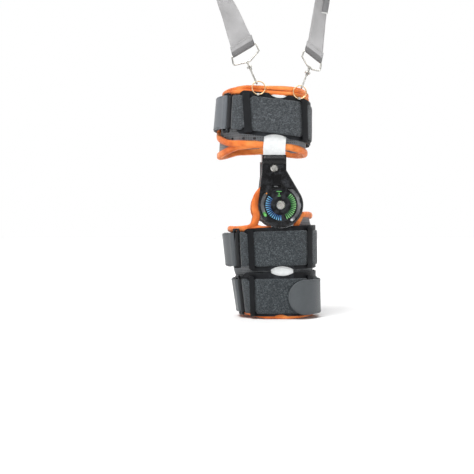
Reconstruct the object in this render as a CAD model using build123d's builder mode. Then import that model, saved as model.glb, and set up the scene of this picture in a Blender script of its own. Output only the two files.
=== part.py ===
"""Hinged knee brace with a suspension strap, for a left leg.

Frame: +X to the wearer's rear, -Y lateral, +Z up, origin under the brace on the calf liner's bottom rim.
Heights and lengths seen from the side are given from the knee pivot (SIDE), depths as distances from
the leg's mid-plane or, on a cuff, as offsets from the liner's outer face.
"""

import os
from math import acos, atan2, cos, hypot, radians, sin

from build123d import *

# ---- driving dimensions (mm) ----
KNEE_X = 20.0  # pivot forward or back of the brace's middle
KNEE_Z = 196.0  # pivot above the bottom rim
LEG_HALF_WIDTH = 66.0  # liner outer face on the flat sides
LINER_THICK = 8.0
BINDING_HEIGHT = 6.0
REACH = 120.0  # deeper than any half of the brace
REAR_GAP = 12.0  # half the gap between the two shells at the rear

# depths from the mid-plane, across the hinge
PAD_IN, PAD_OUT = 55.8, 63.8
PLATE_IN, PLATE_OUT = 64.2, 66.0
BAR_IN, BAR_OUT = 66.2, 69.2
COVER_IN, COVER_WALL, COVER_FACE = 69.4, 76.0, 79.0

# offsets from the liner, across a cuff
SHELL_IN, SHELL_OUT = 3.4, 6.4
STRAP_IN, STRAP_OUT = 6.6, 9.2
TAB_IN, TAB_OUT = 9.5, 11.9
BRIDGE_IN, BRIDGE_OUT = 9.6, 12.0
ROUND_TAB_IN, ROUND_TAB_OUT = 12.3, 14.5
STRAP_WIDTH = 60.0
THIGH_STRAP = (152.0, -7.0)  # height at the pivot's x, slope in degrees
UPPER_STRAP = (-74.0, 2.0)
LOWER_STRAP = (-156.0, 1.0)
RING_WIDE, RING_BAR, RING_THICK = 14.0, 3.4, 4.0  # strap rings
ROUND_TAB_CENTRE, ROUND_TAB_R = (43.0, -158.0), 30.0

# cuffs: flat side from/to, then height, front and rear of the liner's outer face
THIGH_FLAT = (-40.0, 16.0)
THIGH_LEVELS = ((75.0, -111.0, 50.0), (225.0, -98.0, 51.0))
CALF_FLAT = (-20.0, 22.0)
CALF_LEVELS = ((-196.0, -63.0, 61.0), (-124.0, -74.0, 60.0), (-110.0, -83.5, 60.0), (-10.0, -94.0, 59.0))
THIGH_TOP_EDGE = ((-120, 203), (-90, 207), (0, 207), (40, 204), (70, 202))
THIGH_BOTTOM_EDGE = ((-120, 82), (-104, 86), (-75, 98), (-28, 101), (9, 97), (45, 91), (70, 87))
THIGH_OUTLINE = ((-70, 199), (75, 181), (75, 106), (-77, 125))  # lateral shell seen from the side
UPPER_OUTLINE = ((-65, -40.5), (90, -31.5), (90, -107), (-53, -113.8))
LOWER_OUTLINE = ((-68, -117.2), (90, -113), (90, -189), (-52, -191.5))
SHELL_CORNER_R = 9.0

# hinge
DISC_R = 36.0
COVER_R = 38.6
ARM_LEFT, ARM_RIGHT, ARM_TOP, ARM_BASE = -31.6, 9.6, 86.0, 60.0
ARM_SCREW = (-11.3, 63.3)
SLOT_R, SLOT_HALF = 31.5, 2.7
EXTENSION_SLOT = (146.0, 214.0)  # degrees, front of the dial
FLEXION_SLOT = (-54.0, 61.0)
EXTENSION_PIN_AT, FLEXION_PIN_AT = 213.4, -53.4
LOCK_X, LOCK_Z = -7.7, 43.6
LOCK_TRAVEL = 5.0
LOCK_PLATE, LOCK_BUTTON, TONGUE_WIDE = (18.0, 20.8), (14.4, 18.7), 6.0
PAD_CENTRE_X, PAD_R, PAD_POCKET_R = -8.0, 42.0, 8.0
LOCK_STEP, LOCK_STOPS = 30.0, 4  # degrees between the disc's notches
SHANK_R, BUSH_R = 3.5, 5.0
RUNNING = 0.05
NUT_THICK = 1.8
DIAL_R, DIAL_THICK = 28.2, 0.6
TICK_IN, TICK_OUT, TICK_WIDE = 17.2, 26.2, 1.1

# side bars
BAR_WIDTH = 38.0
THIGH_BAR_X, THIGH_BAR_BEND, THIGH_BAR_TOP = -10.7, 100.0, 190.0
THIGH_BAR_LEAN = 5.0  # degrees, towards the rear going up
CALF_BAR_X, CALF_BAR_END = 2.8, -188.0
RIVET_R, SHELL_TRAVEL = 3.0, 20.0
THIGH_RIVETS = ((-8.3, 128.0), (-5.8, 156.0))
CALF_RIVETS = ((CALF_BAR_X, -60.0), (CALF_BAR_X, -90.0), (CALF_BAR_X, -140.0), (CALF_BAR_X, -172.0))

# suspension
WIRE_R = 1.0
RING_R = 11.2
FRONT_STAPLE = (-38.9, -75.2, 190.0)
REAR_STAPLE = (31.9, -72.0, 183.2)
WEBBING_THICK = 2.0
WEBBING_WIDTH = 40.0
WEBBING_DEPTH = (44.0, 84.0)  # from the mid-plane, where the webbing crosses over the top
LOOP_WIRE_R = 1.5
HOOK_WIRE_R = 1.5
HOOK_BEND_R = 3.2
HOOK_NOSE = 5.5
COLLAR_BELOW, GATE_PIN_BELOW = 11.0, 15.0  # from the eye down the hook
GATE_PIN_R = 0.65
FRONT_LOOP = ((-83.5, 253.4), (-43.3, 277.8), (-37.1, 265.0), (-52.5, 247.3), (-62.0, 244.1), (-80.8, 239.8))
REAR_LOOP = ((40.7, 267.7), (69.8, 243.9), (67.6, 231.0), (54.0, 233.8), (46.0, 240.3), (36.9, 255.5))
WEBBING_TOP = ((-95.5, 345.0), (-114.0, 408.0), (-12.0, 432.0), (84.0, 408.0), (71.0, 345.0))

SIDE = Plane(origin=(KNEE_X, 0, KNEE_Z), x_dir=(1, 0, 0), z_dir=(0, -1, 0))


def save(piece, name):
    """Label one finished piece and write it."""
    piece.part.label = name
    export_step(piece.part, f"parts/{name}.step")


def save_pair(piece, name):
    """Write a lateral piece and its mirror image on the medial side."""
    save(piece, f"lateral_{name}")
    with BuildPart() as medial:
        mirror(piece.part, about=Plane.XZ)
    save(medial, f"medial_{name}")


def both_sides(piece):
    """One piece holding a lateral solid and its medial twin."""
    with BuildPart() as pair:
        add(piece.part)
        mirror(piece.part, about=Plane.XZ)
    return pair


def at(depth):
    """Side-view plane at a distance from the leg's mid-plane, on the lateral side."""
    return SIDE.offset(depth)


# ---- cuffs ----


def cuff_wall(levels, flat, inner, outer):
    """Closed wall round the leg between two offsets from the liner's outer face."""
    with BuildPart() as wall:
        for offset_out, mode in ((outer, Mode.ADD), (inner, Mode.SUBTRACT)):
            half = LEG_HALF_WIDTH + offset_out
            for height, front, rear in levels:
                with BuildSketch(Plane((KNEE_X, 0, KNEE_Z + height))):
                    with BuildLine():
                        Line((flat[0], half), (flat[1], half))
                        EllipticalCenterArc(
                            (flat[1], 0), rear + offset_out - flat[1], half, start_angle=-90, arc_size=180
                        )
                        Line((flat[1], -half), (flat[0], -half))
                        EllipticalCenterArc(
                            (flat[0], 0), flat[0] - front + offset_out, half, start_angle=90, arc_size=180
                        )
                    make_face()
            loft(ruled=True, mode=mode)
    return wall.part


def thigh_wall(inner, outer):
    return cuff_wall(THIGH_LEVELS, THIGH_FLAT, inner, outer)


def calf_wall(inner, outer):
    return cuff_wall(CALF_LEVELS, CALF_FLAT, inner, outer)


def liner_and_binding(wall, top, bottom, name):
    """Foam liner between two edge lines, and the tape bound round both edges."""
    rise = BINDING_HEIGHT
    with BuildPart() as liner:
        add(wall)
        with BuildSketch(SIDE):
            edge = [(x, z - rise) for x, z in top] + [(x, z + rise) for x, z in reversed(bottom)]
            Polygon(*edge, align=None)
        extrude(amount=REACH, both=True, mode=Mode.INTERSECT)
    save(liner, f"{name}_liner")
    with BuildPart() as binding:
        add(wall)
        with BuildSketch(SIDE):
            Polygon(*top, *[(x, z - rise) for x, z in reversed(top)], align=None)
            Polygon(*bottom, *[(x, z + rise) for x, z in reversed(bottom)], align=None)
        extrude(amount=REACH, both=True, mode=Mode.INTERSECT)
    save(binding, f"{name}_binding")


def band_outline(centre_z, tilt, width):
    """Slanted strap band seen from the side, in the current sketch."""
    with Locations(Location((0, centre_z, 0), (0, 0, tilt))):
        Rectangle(2 * REACH + 60, width)


def make_shell(walls, outline, notches, bridges, strap, holes):
    """Lateral shell: a curved plate with upright bridges over the strap's channel."""
    plate_wall, bridge_wall, channel_wall = walls
    centre_z, tilt = strap
    with BuildPart() as channel:
        add(channel_wall)
        with BuildSketch(SIDE):
            band_outline(centre_z, tilt, STRAP_WIDTH + 1.2)
        extrude(amount=REACH, mode=Mode.INTERSECT)
    with BuildPart() as uprights:
        add(bridge_wall)
        with BuildSketch(at(REAR_GAP)):
            for left, right, lean in bridges:
                middle = (left + right) / 2
                with Locations(Location((middle, centre_z + middle * sin(radians(tilt)), 0), (0, 0, lean))):
                    RectangleRounded(right - left, STRAP_WIDTH + 8, 2)
        extrude(amount=REACH, mode=Mode.INTERSECT)
    with BuildPart() as shell:
        add(plate_wall)
        with BuildSketch(at(REAR_GAP)) as face:
            Polygon(*outline, align=None)
            fillet(face.vertices(), SHELL_CORNER_R)
            for x, z, radius in notches:
                with Locations((x, z)):
                    Circle(radius, mode=Mode.SUBTRACT)
            for x, z in holes:
                with Locations((x, z)):
                    Circle(RIVET_R, mode=Mode.SUBTRACT)
        extrude(amount=REACH, mode=Mode.INTERSECT)
        add(uprights.part)
        add(channel.part, mode=Mode.SUBTRACT)
    return shell


def make_strap(wall, centre_z, tilt, ring):
    """Closed felt strap with a gap where the strap ring sits."""
    with BuildPart() as strap:
        add(wall)
        with BuildSketch(SIDE):
            band_outline(centre_z, tilt, STRAP_WIDTH)
        extrude(amount=REACH, both=True, mode=Mode.INTERSECT)
        with BuildSketch(ring.offset(-12)):
            Rectangle(RING_WIDE + 0.8, STRAP_WIDTH + 20)
        extrude(amount=30, mode=Mode.SUBTRACT)
    return strap


def make_front_tab(wall, centre_z, tilt, ring, medial_x):
    """Smooth hook tab lying on the strap from the ring forward round the front."""
    with BuildPart() as tab:
        add(wall)
        with BuildSketch(SIDE):
            band_outline(centre_z, tilt, STRAP_WIDTH - 2)
        extrude(amount=REACH, both=True, mode=Mode.INTERSECT)
        with BuildSketch(ring.offset(-30)):
            with Locations((REACH - RING_WIDE / 2 - 0.4, 0)):
                Rectangle(2 * REACH, 2 * REACH)
        extrude(amount=80, mode=Mode.SUBTRACT)
        with BuildSketch(SIDE):
            with Locations((medial_x + REACH, 0)):
                Rectangle(2 * REACH, 5 * REACH)
        extrude(amount=-REACH, mode=Mode.SUBTRACT)
        with BuildSketch(SIDE):
            with Locations((ring.origin.X - KNEE_X + REACH + 4, 0)):
                Rectangle(2 * REACH, 5 * REACH)
        extrude(amount=REACH, mode=Mode.SUBTRACT)
    return tab


def ring_plane(levels, flat, x, centre_z):
    """Plane tangent to the strap at the ring, its X towards the rear and its normal outwards."""
    (low_z, low_front, _), (high_z, high_front, _) = levels[-2:]
    share = (centre_z - low_z) / (high_z - low_z)
    front = low_front + share * (high_front - low_front)
    reach = flat[0] - front + STRAP_IN
    half = LEG_HALF_WIDTH + STRAP_IN
    along = (flat[0] - x) / reach
    depth = half * (1 - along**2) ** 0.5
    spread = (low_front - high_front) / (high_z - low_z)
    normal = Vector(-along / reach, -depth / half**2, -(along**2) * spread / reach).normalized()
    return Plane(
        origin=(KNEE_X + x, -depth, KNEE_Z + centre_z), x_dir=(-normal.Y, normal.X, 0), z_dir=normal
    )


def make_ring(plane):
    """Rectangular strap ring."""
    with BuildPart() as ring:
        with BuildSketch(plane.offset(0.3)):
            RectangleRounded(RING_WIDE, STRAP_WIDTH + 9, 3)
            RectangleRounded(RING_WIDE - 2 * RING_BAR, STRAP_WIDTH + 2, 1, mode=Mode.SUBTRACT)
        extrude(amount=RING_THICK)
    return ring


def edge_notch(centre, half_chord, sagitta, upward):
    """Circle that cuts an arch into a shell's edge at centre: returns x, z and radius."""
    radius = (half_chord**2 + sagitta**2) / (2 * sagitta)
    shift = sagitta - radius
    return centre[0], centre[1] + (shift if upward else -shift), radius


def staple_slot(origin, depth_in):
    """Solid tail of a ring staple, from the barrel's axis inward through the shell."""
    with BuildPart() as tail:
        with BuildSketch(Plane((KNEE_X + origin[0], -depth_in, KNEE_Z + origin[2]), z_dir=(0, -1, 0))):
            Rectangle(4, 4)
        extrude(amount=-origin[1] - depth_in)
    return tail


STAPLE_TAILS = (staple_slot(FRONT_STAPLE, 69.7), staple_slot(REAR_STAPLE, 63.0))


def thigh_cuff():
    """Everything that slides as one on the thigh bars."""
    liner_and_binding(thigh_wall(-LINER_THICK, 0), THIGH_TOP_EDGE, THIGH_BOTTOM_EDGE, "thigh")
    walls = [
        thigh_wall(SHELL_IN, SHELL_OUT),
        thigh_wall(SHELL_OUT, BRIDGE_OUT),
        thigh_wall(SHELL_OUT, BRIDGE_IN),
    ]
    notches = (edge_notch((-10.7, 117.0), 20, 5, True), edge_notch((-1.0, 189.0), 15, 5, False))
    bridges = ((-64, -51, 4), (37, 48, 2))
    shell = make_shell(walls, THIGH_OUTLINE, notches, bridges, THIGH_STRAP, THIGH_RIVETS)
    with BuildPart() as lateral:
        add(shell.part)
        for tail in STAPLE_TAILS:
            add(tail.part, mode=Mode.SUBTRACT)
    save(lateral, "lateral_thigh_shell")
    with BuildPart() as medial:
        mirror(shell.part, about=Plane.XZ)
    save(medial, "medial_thigh_shell")
    ring = ring_plane(THIGH_LEVELS, THIGH_FLAT, -91.0, 161.3)
    save(make_strap(thigh_wall(STRAP_IN, STRAP_OUT), *THIGH_STRAP, ring), "thigh_strap")
    save(make_front_tab(thigh_wall(TAB_IN, TAB_OUT), *THIGH_STRAP, ring, -72), "thigh_strap_tab")
    save(make_ring(ring), "thigh_strap_ring")
    save(make_rivets(THIGH_RIVETS), "thigh_shell_rivets")


def calf_cuff():
    """Liner, shells and straps of the calf."""
    under_hinge = [(41 * cos(radians(a)), 41 * sin(radians(a))) for a in (-115, -90, -65, -45)]
    top = ((-115, -36), (-60, -36), *under_hinge, (41, -20), (48, -12), (80, -14))
    bottom = ((-115, -196), (80, -196))
    liner_and_binding(calf_wall(-LINER_THICK, 0), top, bottom, "calf")
    walls = [
        calf_wall(SHELL_IN, SHELL_OUT),
        calf_wall(SHELL_OUT, BRIDGE_OUT),
        calf_wall(SHELL_OUT, BRIDGE_IN),
    ]
    upper = make_shell(
        walls,
        UPPER_OUTLINE,
        (edge_notch((2.8, -110.9), 20.5, 6, True), (0, 0, COVER_R + 1.2)),
        ((-56, -45.7, 3), (47, 56, 0)),
        UPPER_STRAP,
        CALF_RIVETS[:2],
    )
    save_pair(upper, "upper_calf_shell")
    lower = make_shell(
        walls,
        LOWER_OUTLINE,
        (edge_notch((2.8, -115.3), 20.5, 6, False), edge_notch((1.0, -190.5), 11, 2.5, True)),
        ((-53, -44.5, 2), (47, 56, 0)),
        LOWER_STRAP,
        CALF_RIVETS[2:],
    )
    save_pair(lower, "lower_calf_shell")
    strap_wall = calf_wall(STRAP_IN, STRAP_OUT)
    tab_wall = calf_wall(TAB_IN, TAB_OUT)
    fastenings = (("upper", UPPER_STRAP, -73.5, -62), ("lower", LOWER_STRAP, -68.0, -54))
    for name, strap, ring_x, medial_x in fastenings:
        ring = ring_plane(CALF_LEVELS if name == "upper" else CALF_LEVELS[:2], CALF_FLAT, ring_x, strap[0])
        save(make_strap(strap_wall, *strap, ring), f"{name}_calf_strap")
        save(make_front_tab(tab_wall, *strap, ring, medial_x), f"{name}_calf_strap_tab")
        save(make_ring(ring), f"{name}_calf_strap_ring")
    save(make_round_tab(), "lower_calf_round_tab")
    save(make_rivets(CALF_RIVETS), "calf_shell_rivets")


def make_round_tab():
    """Broad round-ended tab fastened over the lower strap at the rear."""
    with BuildPart() as tab:
        add(calf_wall(ROUND_TAB_IN, ROUND_TAB_OUT))
        with BuildSketch(at(-20)):
            with Locations(ROUND_TAB_CENTRE):
                Circle(ROUND_TAB_R)
            with Locations((ROUND_TAB_CENTRE[0] + REACH / 2, ROUND_TAB_CENTRE[1])):
                Rectangle(REACH, 2 * ROUND_TAB_R)
        extrude(amount=REACH, mode=Mode.INTERSECT)
    return tab


def make_rivets(places):
    """Rivets that hold the shells to the bars, both sides."""
    with BuildPart() as rivets:
        with BuildSketch(at(BAR_IN)):
            for x, z in places:
                with Locations((x, z)):
                    Circle(RIVET_R)
        extrude(amount=SHELL_OUT + LEG_HALF_WIDTH - BAR_IN)
    return both_sides(rivets)


# ---- side bars ----


def make_calf_bar():
    """Flat bar under the calf shells that ends in the hinge's notched disc."""
    with BuildPart() as bar:
        with BuildSketch(at(BAR_IN)):
            Circle(DISC_R)
            with Locations((CALF_BAR_X, CALF_BAR_END / 2)):
                RectangleRounded(BAR_WIDTH, -CALF_BAR_END, 8)
            for stop in range(LOCK_STOPS):
                with Locations(Location((0, 0, 0), (0, 0, -stop * LOCK_STEP))):
                    with Locations((LOCK_X, DISC_R)):
                        Rectangle(TONGUE_WIDE + 0.8, 8.4, mode=Mode.SUBTRACT)
            Circle(BUSH_R, mode=Mode.SUBTRACT)
            with Locations(*CALF_RIVETS):
                Circle(RIVET_R, mode=Mode.SUBTRACT)
        extrude(amount=BAR_OUT - BAR_IN)
    return bar


def make_thigh_bar():
    """Flat bar from the hinge up under the thigh shell, with slots that the shell slides on."""
    lean = radians(THIGH_BAR_LEAN)
    length = (THIGH_BAR_TOP - THIGH_BAR_BEND) / cos(lean)
    with BuildPart() as bar:
        with BuildSketch(at(BAR_IN)):
            with Locations((THIGH_BAR_X, THIGH_BAR_BEND / 2)):
                Rectangle(BAR_WIDTH, THIGH_BAR_BEND)
            with Locations(Location((THIGH_BAR_X, THIGH_BAR_BEND, 0), (0, 0, -THIGH_BAR_LEAN))):
                with Locations((0, length / 2 - 8)):
                    RectangleRounded(BAR_WIDTH, length + 16, 12)
            Circle(DISC_R + 0.6, mode=Mode.SUBTRACT)
            with Locations((LOCK_X, 41.6)):
                Rectangle(TONGUE_WIDE + 0.8, 14, mode=Mode.SUBTRACT)
            with Locations(ARM_SCREW):
                Circle(RIVET_R, mode=Mode.SUBTRACT)
            span = THIGH_RIVETS[1][1] - THIGH_RIVETS[0][1] + SHELL_TRAVEL
            with Locations(Location((*THIGH_RIVETS[0], 0), (0, 0, 90 - THIGH_BAR_LEAN))):
                with Locations((span / 2, 0)):
                    SlotOverall(span + 2 * RIVET_R + 0.8, 2 * RIVET_R + 0.4, mode=Mode.SUBTRACT)
        extrude(amount=BAR_OUT - BAR_IN)
    return bar


# ---- hinge ----


def tangent_point(point, radius, side):
    """Where the line from point touches a circle about the pivot."""
    turn = side * acos(radius / hypot(*point))
    angle = atan2(point[1], point[0]) + turn
    return radius * cos(angle), radius * sin(angle)


def hinge_outline(inset=0.0, top=ARM_TOP):
    """Teardrop: a disc about the pivot and a narrow arm upwards, in the current sketch."""
    radius = COVER_R - inset
    left, right, top = ARM_LEFT + inset, ARM_RIGHT - inset, top - inset
    touch_left = tangent_point((left, ARM_BASE), radius, 1)
    touch_right = tangent_point((right, ARM_BASE), radius, -1)
    Circle(radius)
    arm = ((right, ARM_BASE), (right, top), (left, top), (left, ARM_BASE))
    Polygon(touch_right, *arm, touch_left, (0, 0), align=None)


def dial_arc(angles, width):
    """Curved slot about the pivot between two angles, in the current sketch."""
    SlotArc(Edge.make_circle(SLOT_R, start_angle=angles[0], end_angle=angles[1]), width)


def make_cover():
    """Moulded hinge cover: cavity for the stops and the lock, seat for the dial, slots and window."""
    with BuildPart() as cover:
        with BuildSketch(at(COVER_IN)):
            hinge_outline()
        extrude(amount=COVER_FACE - COVER_IN)
        chamfer(cover.faces().sort_by(Axis.Y)[0].outer_wire().edges(), 1.8)
        with BuildSketch(at(COVER_FACE)):
            with Locations(((ARM_LEFT + ARM_RIGHT) / 2, 77)):
                RectangleRounded(ARM_RIGHT - ARM_LEFT - 5, 9, 3)
        extrude(amount=1.6)
        with BuildSketch(at(COVER_IN)):
            Circle(DISC_R)
            Circle(12, mode=Mode.SUBTRACT)
            with Locations((LOCK_X, LOCK_Z - LOCK_TRAVEL / 2)):
                Rectangle(18.8, 21.6 + LOCK_TRAVEL)
        extrude(amount=COVER_WALL - COVER_IN, mode=Mode.SUBTRACT)
        with BuildSketch(at(COVER_IN)):
            dial_arc(EXTENSION_SLOT, 2 * SLOT_HALF)
            dial_arc(FLEXION_SLOT, 2 * SLOT_HALF)
            with Locations((LOCK_X, LOCK_Z - LOCK_TRAVEL / 2)):
                Rectangle(15.2, 19.4 + LOCK_TRAVEL)
            Circle(SHANK_R)
            with Locations(ARM_SCREW):
                Circle(RIVET_R)
        extrude(amount=COVER_FACE - COVER_IN, mode=Mode.SUBTRACT)
        with BuildSketch(at(COVER_FACE - DIAL_THICK)):
            Circle(DIAL_R)
        extrude(amount=DIAL_THICK, mode=Mode.SUBTRACT)
    return cover


def make_dial():
    """Thin dial plate let into the cover's face."""
    with BuildPart() as dial:
        with BuildSketch(at(COVER_FACE - DIAL_THICK)):
            Circle(DIAL_R)
            Circle(SHANK_R, mode=Mode.SUBTRACT)
        extrude(amount=DIAL_THICK)
    return dial


def make_ticks(first, last, count):
    """Raised radial scale marks on the dial."""
    with BuildPart() as ticks:
        with BuildSketch(at(COVER_FACE)):
            for mark in range(count):
                angle = first + (last - first) * mark / (count - 1)
                with Locations(Location((0, 0, 0), (0, 0, angle))):
                    with Locations(((TICK_IN + TICK_OUT) / 2, 0)):
                        Rectangle(TICK_OUT - TICK_IN, TICK_WIDE)
        extrude(amount=0.3)
    return both_sides(ticks)


def make_back_plate():
    """Steel plate that closes the hinge on the leg's side."""
    with BuildPart() as plate:
        with BuildSketch(at(PLATE_IN)):
            hinge_outline(inset=1.0)
            Circle(SHANK_R, mode=Mode.SUBTRACT)
            with Locations(ARM_SCREW):
                Circle(RIVET_R, mode=Mode.SUBTRACT)
        extrude(amount=PLATE_OUT - PLATE_IN)
    return plate


def make_screw(place, shank_r, head_r):
    """Dome head screw from the cover's face to the nut behind the back plate."""
    head_at = COVER_FACE
    with BuildPart() as screw:
        with BuildSketch(at(PLATE_IN - NUT_THICK)):
            with Locations(place):
                Circle(shank_r)
        extrude(amount=head_at - PLATE_IN + NUT_THICK)
        with BuildSketch(at(head_at)):
            with Locations(place):
                Circle(head_r)
        extrude(amount=1.0)
        with BuildSketch(at(head_at + 1.0)):
            with Locations(place):
                Circle(head_r)
        extrude(amount=1.8, taper=40)
        with BuildSketch(at(head_at + 2.8)):
            with Locations(place):
                RegularPolygon(head_r * 0.3, 6)
        extrude(amount=-1.4, mode=Mode.SUBTRACT)
    return both_sides(screw)


def make_nuts():
    """Thin hexagon nuts on the pivot and arm screws."""
    with BuildPart() as nuts:
        with BuildSketch(at(PLATE_IN - NUT_THICK)):
            with Locations((0, 0)):
                RegularPolygon(6.2, 6)
                Circle(SHANK_R, mode=Mode.SUBTRACT)
            with Locations(ARM_SCREW):
                RegularPolygon(5.2, 6)
                Circle(RIVET_R, mode=Mode.SUBTRACT)
        extrude(amount=NUT_THICK)
    return both_sides(nuts)


def make_bushes():
    """Plain bushes pressed into the calf bars' discs."""
    with BuildPart() as bush:
        with BuildSketch(at(BAR_IN)):
            Circle(BUSH_R)
            Circle(SHANK_R + RUNNING, mode=Mode.SUBTRACT)
        extrude(amount=BAR_OUT - BAR_IN)
    return both_sides(bush)


def make_stop(angle):
    """Sector carrier behind a slot, with the pin that stands through it."""
    with BuildPart() as stop:
        with BuildSketch(at(COVER_IN + 0.4)):
            dial_arc((angle - 6, angle + 6), 2 * SLOT_HALF)
        extrude(amount=COVER_WALL - COVER_IN - 0.8)
        with BuildSketch(at(COVER_WALL - 0.6)):
            with Locations((SLOT_R * cos(radians(angle)), SLOT_R * sin(radians(angle)))):
                Circle(2.2)
        extrude(amount=COVER_FACE - COVER_WALL + 2.0)
        chamfer(stop.faces().sort_by(Axis.Y)[0].edges(), 0.6)
    return stop


def make_lock():
    """Slide lock: a plate in the cavity, a ribbed thumb pad and the tongue that drops into the disc."""
    with BuildPart() as lock:
        with BuildSketch(at(70.0)):
            with Locations((LOCK_X, LOCK_Z)):
                Rectangle(*LOCK_PLATE)
        extrude(amount=COVER_WALL - 0.4 - 70.0)
        with BuildSketch(at(COVER_WALL - 0.4)):
            with Locations((LOCK_X, LOCK_Z)):
                RectangleRounded(*LOCK_BUTTON, 2)
        extrude(amount=COVER_FACE - COVER_WALL + 1.4)
        chamfer(lock.faces().sort_by(Axis.Y)[0].edges(), 0.6)
        with BuildSketch(at(COVER_FACE + 1.0)):
            with GridLocations(0, 3.2, 1, 4):
                with Locations((LOCK_X, LOCK_Z)):
                    Rectangle(10.5, 1.2)
        extrude(amount=-0.6, mode=Mode.SUBTRACT)
        with BuildSketch(at(BAR_IN + 0.3)):
            with Locations((LOCK_X, 41.6)):
                Rectangle(TONGUE_WIDE, 8.8)
        extrude(amount=70.0 - BAR_IN - 0.3)
    return lock


def make_pad():
    """Soft round condyle pad behind the hinge, with a pocket for the pivot nut."""
    with BuildPart() as pad:
        with BuildSketch(at(PAD_IN)):
            with Locations((PAD_CENTRE_X, 0)):
                Circle(PAD_R)
            with Locations((0, -50)):
                Rectangle(120, 40, mode=Mode.SUBTRACT)
        extrude(amount=PAD_OUT - PAD_IN)
        with BuildSketch(at(PAD_OUT)):
            Circle(PAD_POCKET_R)
        extrude(amount=-3.4, mode=Mode.SUBTRACT)
    return pad


def hinges():
    """The side bars and both knee hinges."""
    save_pair(make_calf_bar(), "calf_bar")
    save_pair(make_thigh_bar(), "thigh_bar")
    save_pair(make_cover(), "hinge_cover")
    save_pair(make_back_plate(), "hinge_back_plate")
    save_pair(make_pad(), "condyle_pad")
    save_pair(make_lock(), "lock_slider")
    save_pair(make_stop(EXTENSION_PIN_AT), "extension_stop")
    save_pair(make_stop(FLEXION_PIN_AT), "flexion_stop")
    save(both_sides(make_dial()), "dial_plates")
    save(make_ticks(145, 270, 19), "extension_scale_marks")
    save(make_ticks(47, -64, 17), "flexion_scale_marks")
    save(make_screw((0, 0), SHANK_R, 7.5), "pivot_screws")
    save(make_screw(ARM_SCREW, RIVET_R, 6.4), "arm_screws")
    save(make_nuts(), "hinge_nuts")
    save(make_bushes(), "pivot_bushes")


# ---- suspension ----


def suspension_frame():
    """Upright plane through both ring staples, measured like SIDE; and the staples' shared axis."""
    run = Vector(*REAR_STAPLE) - Vector(*FRONT_STAPLE)
    along = Vector(run.X, run.Y, 0).normalized()
    start = FRONT_STAPLE[1] - run.Y / run.X * FRONT_STAPLE[0]
    plane = Plane(origin=(KNEE_X, start, KNEE_Z), x_dir=along, z_dir=along.cross(Vector(0, 0, 1)))
    return plane, run.normalized()


BAIL, BAIL_AXIS = suspension_frame()


def make_staples():
    """Pressed staples riveted through the thigh shell, whose barrels hold the rings."""
    with BuildPart() as staples:
        for staple, tail in zip((FRONT_STAPLE, REAR_STAPLE), STAPLE_TAILS):
            centre = Vector(KNEE_X + staple[0], staple[1], KNEE_Z + staple[2])
            add(tail.part)
            with BuildSketch(Plane(origin=centre, z_dir=BAIL_AXIS)):
                Circle(2.4)
            extrude(amount=2.2, both=True)
        for staple in (FRONT_STAPLE, REAR_STAPLE):
            centre = Vector(KNEE_X + staple[0], staple[1], KNEE_Z + staple[2])
            with BuildSketch(Plane(origin=centre, z_dir=BAIL_AXIS)):
                Circle(1.35)
            extrude(amount=6, both=True, mode=Mode.SUBTRACT)
    return staples


def ring_centre(staple):
    """Centre of the ring that hangs its lowest point in a staple's barrel."""
    upward = BAIL.z_dir.cross(BAIL_AXIS)
    return Vector(KNEE_X + staple[0], staple[1], KNEE_Z + staple[2]) + upward * RING_R


def make_wire_ring(staple):
    """Round wire ring."""
    centre = ring_centre(staple)
    with BuildPart() as ring:
        upward = BAIL.z_dir.cross(BAIL_AXIS)
        with BuildSketch(Plane(origin=centre + BAIL_AXIS * RING_R, x_dir=BAIL_AXIS, z_dir=upward)):
            Circle(WIRE_R)
        revolve(axis=Axis(centre, BAIL.z_dir))
    return ring


def make_strap_loop(points):
    """Closed wire loop that the webbing is sewn round."""
    with BuildPart() as loop:
        with BuildLine(BAIL) as path:
            FilletPolyline(*points, radius=2.6, close=True)
        start = path.line.edges().sort_by(SortBy.LENGTH)[-1]
        with BuildSketch(Plane(origin=start @ 0, z_dir=start % 0)):
            Circle(LOOP_WIRE_R)
        sweep(path=path.wire())
    return loop


def hook_plane(staple, neck):
    """Plane across the suspension plane: Y up the hook from the ring's wire, X outwards."""
    centre = ring_centre(staple)
    upward = (neck - centre).normalized()
    return Plane(origin=centre + upward * RING_R, x_dir=BAIL.z_dir, z_dir=BAIL.z_dir.cross(upward))


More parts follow.
